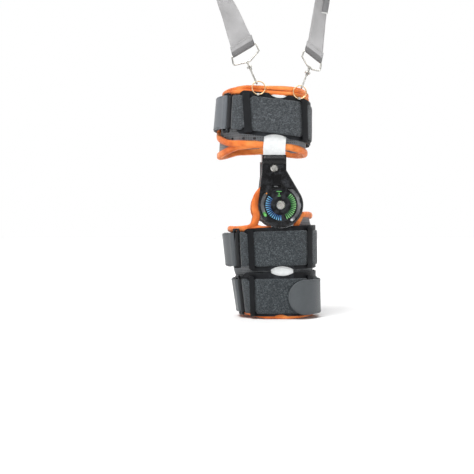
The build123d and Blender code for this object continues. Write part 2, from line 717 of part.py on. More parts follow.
def make_hook(plane, reach, wire_run):
    """Snap hook: bend round the ring, shank, collar with the gate's ears, and an eye on the loop's wire."""
    with BuildPart() as hook:
        with BuildLine(plane) as path:
            Line((HOOK_BEND_R, HOOK_NOSE), (HOOK_BEND_R, 0))
            CenterArc((0, 0), HOOK_BEND_R, 0, -180)
            Line((-HOOK_BEND_R, 0), (-HOOK_BEND_R, reach - COLLAR_BELOW))
        nose = plane.from_local_coords((HOOK_BEND_R, HOOK_NOSE, 0))
        with BuildSketch(Plane(origin=nose, z_dir=-plane.y_dir)):
            Circle(HOOK_WIRE_R)
        sweep(path=path.wire())
        collar = plane.from_local_coords((0, reach - COLLAR_BELOW - 0.5, 0))
        with BuildSketch(Plane(origin=collar, z_dir=plane.y_dir)):
            Circle(4.8)
        extrude(amount=3)
        with BuildSketch(Plane(origin=collar, z_dir=plane.y_dir)):
            Circle(2.0)
        extrude(amount=COLLAR_BELOW)
        for side in (-1, 1):
            with BuildSketch(plane.offset(side * 1.25)):
                with Locations((HOOK_BEND_R, reach - COLLAR_BELOW - 2.2)):
                    Rectangle(3.0, 5.4)
                with Locations((HOOK_BEND_R, reach - GATE_PIN_BELOW)):
                    Circle(GATE_PIN_R + RUNNING, mode=Mode.SUBTRACT)
            extrude(amount=side * 0.9)
        eye = plane.from_local_coords((0, reach, 0))
        with BuildSketch(Plane(origin=eye, z_dir=wire_run)):
            Circle(3.3)
        extrude(amount=2.1, both=True)
        with BuildSketch(Plane(origin=eye, z_dir=wire_run)):
            Circle(LOOP_WIRE_R + 0.3)
        extrude(amount=8, both=True, mode=Mode.SUBTRACT)
    return hook


def make_gate(plane, reach):
    """Spring gate that closes the hook's mouth, on its cross pin."""
    pin_at = reach - GATE_PIN_BELOW
    with BuildPart() as gate:
        foot = plane.from_local_coords((HOOK_BEND_R, HOOK_NOSE + 0.5, 0))
        with BuildSketch(Plane(origin=foot, z_dir=plane.y_dir)):
            Circle(1.0)
        extrude(amount=pin_at + 1.2 - HOOK_NOSE - 0.5)
        with BuildSketch(plane):
            with Locations((HOOK_BEND_R, pin_at)):
                Circle(GATE_PIN_R)
        extrude(amount=2.15, both=True)
    return gate


def make_webbing():
    """Woven strap: a flat strand down to each loop, joined by a crossing that turns flat over the top."""
    low, high = WEBBING_DEPTH
    with BuildPart() as webbing:
        with BuildSketch(BAIL):
            Polygon((-81.6, 257.1), (-47.4, 277.9), (-80, 352), (-111, 352), align=None)
            Polygon((43.3, 268.5), (70, 246.5), (83.6, 352), (58.4, 352), align=None)
        extrude(amount=WEBBING_THICK / 2, both=True)
        with BuildSketch(at(low)):
            with BuildLine():
                FilletPolyline(*WEBBING_TOP, radius=(30, 180, 30))
            trace(line_width=2.4)
        extrude(amount=high - low)
    return webbing


def make_slider():
    """Flat adjuster sleeve round the webbing's rear leg."""
    top, foot = Vector(*WEBBING_TOP[-2]), Vector(*WEBBING_TOP[-1])
    leg = (top - foot).normalized()
    place = foot + leg * 17.5
    plane = Plane(
        origin=(KNEE_X + place.X, -sum(WEBBING_DEPTH) / 2, KNEE_Z + place.Y),
        x_dir=(leg.Y, 0, -leg.X),
        z_dir=(leg.X, 0, leg.Y),
    )
    with BuildPart() as slider:
        with BuildSketch(plane):
            RectangleRounded(7.0, WEBBING_WIDTH + 4.4, 2)
            Rectangle(3.2, WEBBING_WIDTH + 0.8, mode=Mode.SUBTRACT)
        extrude(amount=12)
    print("slider axis", plane.z_dir, "place", plane.origin)
    return slider


def suspension():
    """Staples, rings, hooks, loops and webbing that carry the brace."""
    save(make_staples(), "ring_staples")
    for name, staple, loop_points in (
        ("front", FRONT_STAPLE, FRONT_LOOP),
        ("rear", REAR_STAPLE, REAR_LOOP),
    ):
        save(make_wire_ring(staple), f"{name}_suspension_ring")
        save(make_strap_loop(loop_points), f"{name}_strap_loop")
        seat_a, seat_b = (BAIL.from_local_coords((x, z, 0)) for x, z in loop_points[3:5])
        neck = (seat_a + seat_b) / 2
        plane = hook_plane(staple, neck)
        reach = (neck - plane.origin).length
        save(make_hook(plane, reach, seat_b - seat_a), f"{name}_snap_hook")
        save(make_gate(plane, reach), f"{name}_hook_gate")
        pin = plane.from_local_coords((HOOK_BEND_R, reach - GATE_PIN_BELOW, 0))
        print(name, "gate pin", pin, "opens about", -plane.z_dir)
    save(make_webbing(), "suspension_webbing")
    save(make_slider(), "webbing_slider")
    print("suspension axis", BAIL_AXIS)


os.makedirs("parts", exist_ok=True)
thigh_cuff()
calf_cuff()
hinges()
suspension()
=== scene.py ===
"""Visual model of the knee brace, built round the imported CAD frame. Lengths in the helpers are millimetres
seen from the knee pivot, like the part's side view; everything is turned into metres as it is made."""

import math

import bmesh
import bpy
import numpy as np
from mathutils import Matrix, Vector, noise


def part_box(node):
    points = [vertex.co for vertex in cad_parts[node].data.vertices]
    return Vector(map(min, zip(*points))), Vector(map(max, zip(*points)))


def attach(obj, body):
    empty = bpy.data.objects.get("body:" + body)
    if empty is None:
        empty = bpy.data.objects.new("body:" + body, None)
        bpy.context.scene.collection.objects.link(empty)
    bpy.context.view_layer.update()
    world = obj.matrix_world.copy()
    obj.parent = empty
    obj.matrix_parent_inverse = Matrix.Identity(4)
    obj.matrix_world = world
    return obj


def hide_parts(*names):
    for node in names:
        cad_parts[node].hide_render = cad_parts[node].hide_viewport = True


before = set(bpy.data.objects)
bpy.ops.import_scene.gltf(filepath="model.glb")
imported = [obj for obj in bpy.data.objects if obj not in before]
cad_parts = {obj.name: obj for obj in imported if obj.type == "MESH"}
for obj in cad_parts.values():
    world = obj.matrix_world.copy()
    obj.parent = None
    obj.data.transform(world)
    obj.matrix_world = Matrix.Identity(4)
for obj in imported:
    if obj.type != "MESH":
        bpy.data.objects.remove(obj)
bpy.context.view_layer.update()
MM = 0.001

PIVOT_LOW, PIVOT_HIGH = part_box("pivot_screws")
KNEE_X = (PIVOT_LOW[0] + PIVOT_HIGH[0]) / 2 / MM
KNEE_Z = (PIVOT_LOW[2] + PIVOT_HIGH[2]) / 2 / MM

LEG_HALF_WIDTH = 66.0
LINER_THICK = 8.0
STRAP_MID, TAB_MID, ROUND_TAB_MID = 7.9, 10.7, 13.4
STRAP_WIDTH = 60.0

# ---- camera, light and floor ----

FOCAL_ANGLE = math.radians(30)
CAMERA_FROM_PIVOT = (-74.9, -1591.0, -54.5)
WORLD_LIGHT = 0.2
SKY_GLOSS = 1.3


def to_world(points):
    """Pivot millimetres to world metres."""
    return (np.asarray(points, float) + (KNEE_X, 0.0, KNEE_Z)) * MM


def make_camera():
    data = bpy.data.cameras.new("camera")
    data.angle = FOCAL_ANGLE
    camera = bpy.data.objects.new("camera", data)
    camera.location = to_world(CAMERA_FROM_PIVOT)
    camera.rotation_euler = (math.radians(90), 0, 0)
    bpy.context.scene.collection.objects.link(camera)
    bpy.context.scene.camera = camera


def make_sun(name, place, power, angle):
    """Broad, even light from one direction."""
    data = bpy.data.lights.new(name, "SUN")
    data.energy, data.angle = power, math.radians(angle)
    light = bpy.data.objects.new(name, data)
    light.location = place
    light.rotation_euler = (-Vector(place)).to_track_quat("-Z", "Y").to_euler()
    bpy.context.scene.collection.objects.link(light)


def make_strip(name, place, target, size, power):
    """Long soft light that draws a highlight along glossy edges."""
    data = bpy.data.lights.new(name, "AREA")
    data.shape = "RECTANGLE"
    data.energy, data.size, data.size_y = power, *size
    light = bpy.data.objects.new(name, data)
    light.location = place
    light.rotation_euler = (Vector(target) - Vector(place)).to_track_quat("-Z", "Y").to_euler()
    bpy.context.scene.collection.objects.link(light)


def make_studio():
    """White surroundings that light the object softly, two broad lights and a strip for gloss."""
    world = bpy.data.worlds.new("studio")
    world.use_nodes = True
    nodes, links = world.node_tree.nodes, world.node_tree.links
    seen, lit = nodes["Background"], nodes.new("ShaderNodeBackground")
    seen.inputs["Color"].default_value = lit.inputs["Color"].default_value = (1, 1, 1, 1)
    seen.inputs["Strength"].default_value, lit.inputs["Strength"].default_value = 1.0, WORLD_LIGHT
    blend, path = nodes.new("ShaderNodeMixShader"), nodes.new("ShaderNodeLightPath")
    height, sky = nodes.new("ShaderNodeSeparateXYZ"), nodes.new("ShaderNodeMapRange")
    links.new(nodes.new("ShaderNodeTexCoord").outputs["Generated"], height.inputs[0])
    links.new(height.outputs["Z"], sky.inputs["Value"])
    for key, value in (("From Min", 0.08), ("From Max", 0.5), ("To Min", 0.0), ("To Max", SKY_GLOSS)):
        sky.inputs[key].default_value = value
    gloss = nodes.new("ShaderNodeMath")
    gloss.operation = "MULTIPLY_ADD"
    links.new(sky.outputs[0], gloss.inputs[0])
    links.new(path.outputs["Is Glossy Ray"], gloss.inputs[1])
    gloss.inputs[2].default_value = WORLD_LIGHT
    links.new(gloss.outputs[0], lit.inputs["Strength"])
    links.new(path.outputs["Is Camera Ray"], blend.inputs[0])
    links.new(lit.outputs[0], blend.inputs[1])
    links.new(seen.outputs[0], blend.inputs[2])
    links.new(blend.outputs[0], nodes["World Output"].inputs["Surface"])
    bpy.context.scene.world = world
    bpy.context.scene.view_settings.view_transform = "Standard"
    make_sun("key_light", (-0.8, -1.35, 2.5), 2.5, 35)
    make_sun("fill_light", (1.6, -1.6, 1.1), 0.55, 50)
    make_sun("rear_light", (0.6, 2.0, 1.6), 1.5, 50)
    make_strip("gloss_light", (-0.5, -0.9, 0.95), (0.0, 0.0, 0.22), (0.12, 0.9), 2.6)
    floor = new_mesh("floor", *disc(60.0, 96))
    floor.data.materials.append(floor_paint())


def disc(radius, sides):
    rim = [(radius * math.cos(a), radius * math.sin(a), 0) for a in np.linspace(0, 2 * math.pi, sides, False)]
    return rim, [tuple(range(sides))]


# ---- meshes ----


def new_mesh(name, points, faces, smooth=True):
    """Object from world points and faces."""
    mesh = bpy.data.meshes.new(name)
    mesh.from_pydata([tuple(map(float, p)) for p in points], [], [tuple(map(int, f)) for f in faces])
    if smooth:
        mesh.polygons.foreach_set("use_smooth", [True] * len(mesh.polygons))
    mesh.update()
    obj = bpy.data.objects.new(name, mesh)
    bpy.context.scene.collection.objects.link(obj)
    return obj


def set_uv(obj, per_vertex):
    """UV map in metres from one (along, across) pair for each vertex."""
    layer = obj.data.uv_layers.new(name="UVMap")
    index = np.empty(len(obj.data.loops), int)
    obj.data.loops.foreach_get("vertex_index", index)
    layer.data.foreach_set("uv", (np.asarray(per_vertex)[index] * MM).ravel())


def run_along(line):
    """Length from the first point to each point of a line."""
    return np.concatenate([[0], np.cumsum(np.linalg.norm(np.diff(line, axis=0), axis=1))])


def strip_uv(run, across, shape):
    """Flat coordinates of a strip: length along it and place across it."""
    return np.stack([np.broadcast_to(run[:, None], shape), np.broadcast_to(across, shape)], -1)


def smooth_curve(points, step, closed=False):
    """Even points on a Catmull-Rom curve through the given ones."""
    knots = np.asarray(points, float)
    count = len(knots)
    if closed:
        knots = np.vstack([knots[-1], knots, knots[:2]])
        spans = count
    else:
        knots = np.vstack([2 * knots[0] - knots[1], knots, 2 * knots[-1] - knots[-2]])
        spans = count - 1
    t = np.linspace(0, 1, 24, endpoint=False)[:, None]
    rows = []
    for i in range(spans):
        a, b, c, d = knots[i : i + 4]
        rows.append(
            0.5 * ((2 * b) + (c - a) * t + (2 * a - 5 * b + 4 * c - d) * t**2 + (3 * b - a - 3 * c + d) * t**3)
        )
    line = np.vstack(rows + [knots[spans + 1][None] if not closed else rows[0][:1]])
    run = run_along(line)
    total = max(int(round(run[-1] / step)), 4)
    even = np.linspace(0, run[-1], total + 1)
    if closed:
        even = even[:-1]
    return np.stack([np.interp(even, run, line[:, k]) for k in range(line.shape[1])], axis=1)


def unit(vectors):
    return vectors / np.maximum(np.linalg.norm(vectors, axis=-1, keepdims=True), 1e-9)


def ribbon_mesh(name, middle, half_thick, uv, edge_rows=3):
    """Closed cloth strip: middle is a grid of centre points (along, across), thick in its own normal.

    The rims are rounded over edge_rows columns and rows."""
    rows, columns = middle.shape[:2]
    along = np.gradient(middle, axis=0)
    across = np.gradient(middle, axis=1)
    normal = unit(np.cross(along, across))
    half = np.broadcast_to(np.asarray(half_thick, float), (rows, columns)).copy()
    for k in range(edge_rows):
        d = 1 - k / edge_rows
        scale = math.sqrt(max(1 - d * d, 0.06))
        for part in (half[:, k], half[:, -1 - k], half[k, :], half[-1 - k, :]):
            part *= scale
    top = middle + normal * half[..., None]
    low = middle - normal * half[..., None]
    points = np.concatenate([top.reshape(-1, 3), low.reshape(-1, 3)])
    size = rows * columns
    grid = np.arange(size).reshape(rows, columns)
    a, b, c, d = grid[:-1, :-1], grid[1:, :-1], grid[1:, 1:], grid[:-1, 1:]
    faces = [tuple(f) for f in np.stack([a, b, c, d], -1).reshape(-1, 4)]
    faces += [tuple(f) for f in (np.stack([d, c, b, a], -1) + size).reshape(-1, 4)]
    rim = np.concatenate([grid[:, 0], grid[-1, 1:], grid[-2::-1, -1], grid[0, -2:0:-1]])
    for p, q in zip(rim, np.roll(rim, -1)):
        faces.append((q, p, p + size, q + size))
    obj = new_mesh(name, to_world(points), faces)
    set_uv(obj, np.concatenate([uv.reshape(-1, 2)] * 2))
    return obj


def tube_mesh(name, path, sideways, half_across, half_up, closed, ripple=0.0, seed=0.0, power=2.0):
    """Soft tube with an oval section along a path; sideways points across the section."""
    count = len(path)
    if closed:
        tangent = unit(np.roll(path, -1, 0) - np.roll(path, 1, 0))
    else:
        tangent = unit(np.gradient(path, axis=0))
    side = unit(sideways - (sideways * tangent).sum(1, keepdims=True) * tangent)
    up = np.cross(tangent, side)
    sides = 18
    turn = np.linspace(0, 2 * math.pi, sides, endpoint=False)
    run = run_along(path)
    c = np.sign(np.cos(turn)) * np.abs(np.cos(turn)) ** (2 / power)
    s = np.sign(np.sin(turn)) * np.abs(np.sin(turn)) ** (2 / power)
    swell = np.ones((count, sides))
    if ripple:
        for i in range(count):
            for j in range(sides):
                q = Vector((path[i][0] * 0.11 + 3 * math.cos(turn[j]), path[i][1] * 0.11, path[i][2] * 0.11 + seed))
                swell[i, j] += ripple * (0.7 * noise.noise(q) + 0.3 * math.sin(run[i] * 1.15 + 2 * noise.noise(q * 0.7)))
    a = np.broadcast_to(np.asarray(half_across, float), (count,))[:, None, None]
    b = np.broadcast_to(np.asarray(half_up, float), (count,))[:, None, None]
    body = path[:, None] + (a * c[None, :, None] * side[:, None] + b * s[None, :, None] * up[:, None]) * swell[..., None]
    grid = np.arange(count * sides).reshape(count, sides)
    after = np.roll(grid, -1, 0) if closed else grid[1:]
    here = grid if closed else grid[:-1]
    faces = np.stack([here, after, np.roll(after, -1, 1), np.roll(here, -1, 1)], -1).reshape(-1, 4)
    faces = [tuple(f) for f in faces]
    points = body.reshape(-1, 3)
    uv = np.stack([np.repeat(run, sides), np.tile(turn / (2 * math.pi) * 28, count)], 1)
    if not closed:
        ends = len(points)
        points = np.vstack([points, path[0] - tangent[0] * 1.2, path[-1] + tangent[-1] * 1.2])
        uv = np.vstack([uv, [[0, 0], [run[-1], 0]]])
        for j in range(sides):
            k = (j + 1) % sides
            faces.append((ends, grid[0][j], grid[0][k]))
            faces.append((ends + 1, grid[-1][k], grid[-1][j]))
    obj = new_mesh(name, to_world(points), faces)
    set_uv(obj, uv)
    return obj


def stitches(name, path, outward, length=2.6, gap=1.5, radius=0.32):
    """Row of thread stitches lying along a path, proud of the surface along outward."""
    run = run_along(path)
    starts = np.arange(gap, run[-1] - length, length + gap)
    points, faces = [], []
    ring = 6
    for begin in starts:
        places = [np.array([np.interp(begin + length * f, run, path[:, k]) for k in range(3)]) for f in (0, 0.5, 1)]
        out = unit(np.array([np.interp(begin + length / 2, run, outward[:, k]) for k in range(3)]))
        along = unit(places[2] - places[0])
        side = np.cross(along, out)
        first = len(points)
        for place, wide in zip(places, (0.45, 1.0, 0.45)):
            for j in range(ring):
                angle = 2 * math.pi * j / ring
                points.append(
                    place + radius * wide * (math.cos(angle) * side + math.sin(angle) * out) + out * radius * (wide - 0.5)
                )
        for k in range(2):
            for j in range(ring):
                a, b = first + k * ring + j, first + k * ring + (j + 1) % ring
                faces.append((a, b, b + ring, a + ring))
        faces.append(tuple(first + j for j in reversed(range(ring))))
        faces.append(tuple(first + 2 * ring + j for j in range(ring)))
    return new_mesh(name, to_world(points), faces)


def finished(obj, body, material, replaces=()):
    """Ride, material and the CAD nodes a piece stands for."""
    obj.data.materials.clear()
    obj.data.materials.append(material)
    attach(obj, body)
    if replaces:
        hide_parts(*replaces)
    return obj


# ---- the cuffs' walls ----


class Cuff:
    """Wall round the leg: x from the pivot, height, and offset from the liner's outer face.

    Distance s runs round the wall from 0 at the pivot on the lateral side, towards the rear."""

    def __init__(self, levels, flat, height):
        self.heights = np.array([level[0] for level in levels])
        self.fronts = np.array([level[1] for level in levels])
        self.rears = np.array([level[2] for level in levels])
        self.flat, self.height = flat, height
        self.turns = np.linspace(0, 4, 2401)
        line = self.section(self.turns, np.full(2401, height), np.zeros(2401))
        run = run_along(line)
        self.length, self.runs = run[-1], run
        self.front_s = np.interp(3.5, self.turns, run) + flat[0] - self.length
        self.rear_s = np.interp(1.5, self.turns, run) + flat[0]

    def section(self, turn, z, offset):
        half = LEG_HALF_WIDTH + offset
        front = self.flat[0] - np.interp(z, self.heights, self.fronts) + offset
        rear = np.interp(z, self.heights, self.rears) + offset - self.flat[1]
        x, y = np.zeros_like(turn), np.zeros_like(turn)
        part = np.clip(turn.astype(int), 0, 3)
        f = turn - part
        lateral, back, medial, fore = (part == k for k in range(4))
        span = self.flat[1] - self.flat[0]
        x[lateral], y[lateral] = self.flat[0] + f[lateral] * span, -half[lateral]
        angle = -math.pi / 2 + f * math.pi
        x[back], y[back] = self.flat[1] + (rear * np.cos(angle))[back], (half * np.sin(angle))[back]
        x[medial], y[medial] = self.flat[1] - f[medial] * span, half[medial]
        x[fore], y[fore] = self.flat[0] - (front * np.cos(angle))[fore], -(half * np.sin(angle))[fore]
        return np.stack([x, y, z], -1)

    def at(self, s, z, offset):
        """Points on the wall."""
        s, z, offset = np.broadcast_arrays(*(np.asarray(v, float) for v in (s, z, offset)))
        turn = np.interp(np.mod(s - self.flat[0], self.length), self.runs, self.turns)
        return self.section(turn.ravel(), z.ravel(), offset.ravel()).reshape(*s.shape, 3)

    def outward(self, s, z, offset=0.0):
        return unit(self.at(s, z, np.asarray(offset) + 1.0) - self.at(s, z, offset))

    def s_at(self, x, offset=0.0):
        """Distance round the lateral half for a place seen from the side."""
        turn = np.concatenate([np.linspace(3.5, 4, 400, endpoint=False), np.linspace(0, 1.5, 1200)])
        seen = self.section(turn, np.full(len(turn), self.height), np.full(len(turn), float(offset)))[:, 0]
        run = np.interp(turn, self.turns, self.runs) + self.flat[0]
        run[:400] -= self.length
        return np.interp(x, seen, run)

    def medial(self, s):
        """The place opposite s on the medial side, reached over the front."""
        return 2 * self.front_s - s

    def seen_x(self, s):
        return self.at(s, np.full(np.shape(s), self.height), np.zeros(np.shape(s)))[..., 0]

    def unwrap(self, points):
        """(s, z) of points near the wall."""
        line = self.at(np.linspace(0, self.length, 900, endpoint=False), self.height, -LINER_THICK / 2)[:, :2]
        centre = np.array([sum(self.flat) / 2, 0.0])
        angle = np.arctan2(*(line - centre).T[::-1])
        order = np.argsort(angle)
        here = np.arctan2(*(points[:, :2] - centre).T[::-1])
        run = np.linspace(0, self.length, 900, endpoint=False)[order]
        nearest = np.clip(np.searchsorted(angle[order], here), 0, 899)
        return np.stack([run[nearest], points[:, 2]], 1)


THIGH = Cuff(((75.0, -111.0, 50.0), (225.0, -98.0, 51.0)), (-40.0, 16.0), 150.0)
CALF_LEVELS = ((-196.0, -63.0, 61.0), (-124.0, -74.0, 60.0), (-110.0, -83.5, 60.0), (-10.0, -94.0, 59.0))
CALF = Cuff(CALF_LEVELS, (-20.0, 22.0), -100.0)
LOWER_CALF = Cuff(CALF_LEVELS, (-20.0, 22.0), -156.0)

THIGH_TOP = ((-120, 203), (-90, 207), (0, 207), (40, 204), (70, 202))
THIGH_BOTTOM = ((-120, 82), (-104, 86), (-75, 98), (-28, 101), (9, 97), (45, 91), (70, 87))
CALF_TOP = ((-115, -36), (-75, -36), (-45, -33), (-25, -38), (22, -38), (34, -22), (44, -12), (60, -11), (80, -13))
CALF_BOTTOM = ((-115, -190), (-62, -191.5), (-34, -195.4), (18, -196), (48, -193), (80, -191))


def edge_height(line, x):
    return np.interp(x, [p[0] for p in line], [p[1] for p in line])


# ---- materials ----


class Paint:
    """Small builder for one node material."""

    def __init__(self, name):
        self.material = bpy.data.materials.new(name)
        self.material.use_nodes = True
        self.nodes, self.links = self.material.node_tree.nodes, self.material.node_tree.links
        self.surface = self.nodes["Principled BSDF"]

    def add(self, kind, inputs=None, **settings):
        node = self.nodes.new("ShaderNode" + kind)
        for key, value in settings.items():
            setattr(node, key, value)
        self.feed(node, inputs or {})
        return node

    def feed(self, node, inputs):
        for key, value in inputs.items():
            socket = node.inputs[key]
            if isinstance(value, bpy.types.NodeSocket):
                self.links.new(value, socket)
            else:
                socket.default_value = value

    def place(self, scale=(1, 1, 1), uv=False):
        source = self.add("TexCoord").outputs["UV" if uv else "Object"]
        return self.add("Mapping", {"Vector": source, "Scale": scale}).outputs["Vector"]

    def noise(self, vector, scale, detail=3.0, rough=0.55):
        return self.add(
            "TexNoise", {"Vector": vector, "Scale": scale, "Detail": detail, "Roughness": rough}
        ).outputs["Fac"]

    def cells(self, vector, scale, randomness=1.0):
        inputs = {"Vector": vector, "Scale": scale, "Randomness": randomness}
        return self.add("TexVoronoi", inputs).outputs["Distance"]

    def wave(self, vector, scale, direction="X", distort=0.0, detail_scale=1.0):
        return self.add(
            "TexWave",
            {"Vector": vector, "Scale": scale, "Distortion": distort, "Detail Scale": detail_scale},
            bands_direction=direction,
        ).outputs["Fac"]

    def ramp(self, value, *stops):
        node = self.add("ValToRGB", {"Fac": value})
        elements = node.color_ramp.elements
        while len(elements) < len(stops):
            elements.new(0.5)
        for element, (place, colour) in zip(elements, stops):
            element.position = place
            grey = isinstance(colour, float)
            element.color = (colour, colour, colour, 1) if grey else (*linear(colour), 1)
        return node.outputs["Color"]

    def mix(self, factor, one, two, blend="MIX"):
        node = self.add("Mix", data_type="RGBA", blend_type=blend)
        for socket, value in ((node.inputs[0], factor), (node.inputs[6], one), (node.inputs[7], two)):
            if isinstance(value, bpy.types.NodeSocket):
                self.links.new(value, socket)
            elif socket.type == "RGBA":
                socket.default_value = (*linear(value), 1)
            else:
                socket.default_value = value
        return node.outputs[2]

    def sums(self, operation, a, b):
        node = self.add("Math", operation=operation)
        for socket, value in zip(node.inputs, (a, b)):
            if isinstance(value, bpy.types.NodeSocket):
                self.links.new(value, socket)
            else:
                socket.default_value = value
        return node.outputs[0]

    def pivot_reach(self):
        """Place seen from the knee pivot, split by axis, and the distance from it in the side view."""
        source = self.add("TexCoord").outputs["Object"]
        spot = self.add("Mapping", {"Vector": source, "Location": tuple(-c for c in to_world((0, 0, 0)))})
        split = self.add("SeparateXYZ", {"Vector": spot.outputs["Vector"]})
        flat = self.add("CombineXYZ", {"X": split.outputs["X"], "Z": split.outputs["Z"]})
        length = self.add("VectorMath", {0: flat.outputs["Vector"]}, operation="LENGTH")
        return split, length.outputs["Value"]

    def bump(self, height, strength, distance, normal=None):
        inputs = {"Height": height, "Strength": strength, "Distance": distance}
        if normal:
            inputs["Normal"] = normal
        return self.add("Bump", inputs).outputs["Normal"]

    def finish(self, **inputs):
        self.feed(self.surface, {key.replace("_", " "): value for key, value in inputs.items()})
        return self.material


def linear(colour):
    """Screen colour, 0 to 255, to scene values."""
    return tuple(((c / 255 + 0.055) / 1.055) ** 2.4 if c > 10 else c / 255 / 12.92 for c in colour)


def floor_paint():
    p = Paint("pale_floor")
    soft = p.noise(p.place(), 1.3, 2.0)
    return p.finish(
        Base_Color=p.ramp(soft, (0.3, (246, 246, 246)), (0.7, (250, 250, 250))),
        Roughness=p.ramp(soft, (0.0, 0.75), (1.0, 0.9)),
    )


def felt(name, dark, light, speck):
    """Loop felt: short fibres, speckled where lighter and darker ones mix."""
    p = Paint(name)
    flat, fibres = p.place(), p.place((1.0, 1.0, 1.7))
    fine = p.noise(flat, 1400, 3.0, 0.7)
    fleck = p.noise(fibres, 470, 3.0, 0.8)
    patch = p.noise(flat, 190, 2.0, 0.6)
    worn = p.noise(flat, 30, 2.0)
    base = p.ramp(fleck, (0.38, dark), (0.5, light), (0.62, speck))
    shade = p.mix(p.ramp(patch, (0.38, 0.55), (0.58, 0.0)), base, dark)
    tone = p.mix(p.ramp(worn, (0.3, 0.0), (0.75, 0.3)), shade, dark)
    height = p.sums("ADD", fine, p.sums("MULTIPLY", fleck, 1.8))
    return p.finish(
        Base_Color=p.mix(p.ramp(fine, (0.5, 0.0), (0.72, 0.6)), tone, speck),
        Roughness=p.ramp(fleck, (0.3, 0.86), (0.7, 0.97)),
        Sheen_Weight=0.25,
        Sheen_Roughness=0.45,
        Specular_IOR_Level=0.15,
        Normal=p.bump(height, 0.7, 0.0007),
    )


def knit(name, dark, light, rib=900.0, sheen=0.25):
    """Smooth brushed knit: fine wales and faint mottling."""
    p = Paint(name)
    flat, along = p.place(), p.place(uv=True)
    wales = p.wave(along, rib / 3.1, "Y", 0.6, 2.0)
    courses = p.wave(along, rib / 4.4, "X", 0.8, 2.0)
    mottle = p.noise(flat, 60, 3.0)
    fine = p.noise(flat, 1400, 2.0, 0.6)
    weave = p.sums("MULTIPLY", wales, courses)
    tone = p.sums("ADD", p.sums("MULTIPLY", mottle, 0.6), p.sums("MULTIPLY", fine, 0.4))
    brushed = p.ramp(tone, (0.32, dark), (0.66, light))
    return p.finish(
        Base_Color=p.mix(p.ramp(weave, (0.0, 0.18), (0.6, 0.0)), brushed, dark),
        Roughness=p.ramp(mottle, (0.3, 0.62), (0.7, 0.8)),
        Sheen_Weight=sheen,
        Sheen_Roughness=0.4,
        Specular_IOR_Level=0.3,
        Normal=p.bump(p.sums("ADD", weave, fine), 0.35, 0.00035),
    )


def liner_cloth(name, dark, light):
    """Foam-backed mesh cloth with a grid of small breathing holes."""
    p = Paint(name)
    flat, along = p.place(), p.place(uv=True)
    holes = p.ramp(p.cells(along, 240, 0.0), (0.16, 1.0), (0.30, 0.0))
    fine = p.noise(flat, 1200, 3.0, 0.7)
    tone = p.noise(flat, 45, 2.5)
    cloth = p.mix(p.ramp(fine, (0.4, 0.0), (0.75, 0.5)), p.ramp(tone, (0.3, dark), (0.7, light)), light)
    height = p.sums("SUBTRACT", p.sums("MULTIPLY", fine, 0.35), holes)
    return p.finish(
        Base_Color=p.mix(p.sums("MULTIPLY", holes, 0.75), cloth, tuple(c * 0.45 for c in dark)),
        Roughness=p.ramp(fine, (0.3, 0.82), (0.7, 0.95)),
        Sheen_Weight=0.3,
        Sheen_Roughness=0.5,
        Specular_IOR_Level=0.25,
        Normal=p.bump(height, 0.6, 0.0006),
    )


def binding_cloth(name, dark, mid, light):
    """Folded stretch tape: crosswise ribs, creases and a little sheen."""
    p = Paint(name)
    flat, along = p.place(), p.place(uv=True)
    ribs = p.wave(along, 300, "X", 1.2, 3.0)
    crease = p.noise(p.place((1.0, 1.0, 0.7), uv=False), 120, 2.0, 0.6)
    tone = p.noise(flat, 38, 2.5)
    fine = p.noise(flat, 1500, 2.0)
    base = p.ramp(tone, (0.28, dark), (0.5, mid), (0.72, light))
    ribbed = p.mix(p.ramp(ribs, (0.0, 0.25), (0.5, 0.0)), base, dark)
    return p.finish(
        Base_Color=p.mix(p.ramp(crease, (0.3, 0.4), (0.5, 0.0)), ribbed, dark),
        Roughness=p.ramp(crease, (0.3, 0.6), (0.7, 0.78)),
        Sheen_Weight=0.3,
        Sheen_Roughness=0.35,
        Specular_IOR_Level=0.35,
        Normal=p.bump(p.sums("ADD", p.sums("MULTIPLY", ribs, 0.6), p.sums("ADD", fine, crease)), 0.5, 0.0006),
    )


def webbing_cloth(name, dark, light, turn=None):
    """Tightly woven tape: fine twill across and lengthwise ribs."""
    p = Paint(name)
    flat, along = p.place(), p.place(uv=True)
    source = p.add("TexCoord").outputs["UV"]
    turned = p.add("Mapping", {"Vector": source, "Rotation": (0, 0, math.radians(38))})
    twill = p.wave(turned.outputs["Vector"], 260, "X", 0.4, 2.0)
    ribs = p.wave(along, 190, "Y", 0.2, 2.0)
    fine = p.noise(flat, 1300, 2.0, 0.6)
    worn = p.noise(flat, 26, 2.0)
    weave = p.sums("ADD", p.sums("MULTIPLY", twill, 0.6), p.sums("MULTIPLY", ribs, 0.4))
    tone = p.sums("ADD", p.sums("MULTIPLY", weave, 0.6), p.sums("MULTIPLY", worn, 0.5))
    colour = p.mix(p.ramp(fine, (0.5, 0.0), (0.8, 0.3)), p.ramp(tone, (0.2, dark), (0.75, light)), light)
    # With turn given, the colour is painted darker from that distance along the strip onwards: painted shade where the
    # hem wraps round the loop's bar and lies behind it.
    if turn:
        reach = p.add("SeparateXYZ", {"Vector": along}).outputs["X"]
        bar_shade = p.ramp(p.sums("MULTIPLY", p.sums("SUBTRACT", reach, turn), 400.0), (0.0, 0.0), (0.6, 0.62))
        colour = p.mix(bar_shade, colour, tuple(c * 0.42 for c in dark))
    return p.finish(
        Base_Color=colour,
        Roughness=p.ramp(weave, (0.0, 0.8), (1.0, 0.62)),
        Sheen_Weight=0.2,
        Sheen_Roughness=0.4,
        Specular_IOR_Level=0.35,
        Normal=p.bump(weave, 0.6, 0.0005),
    )


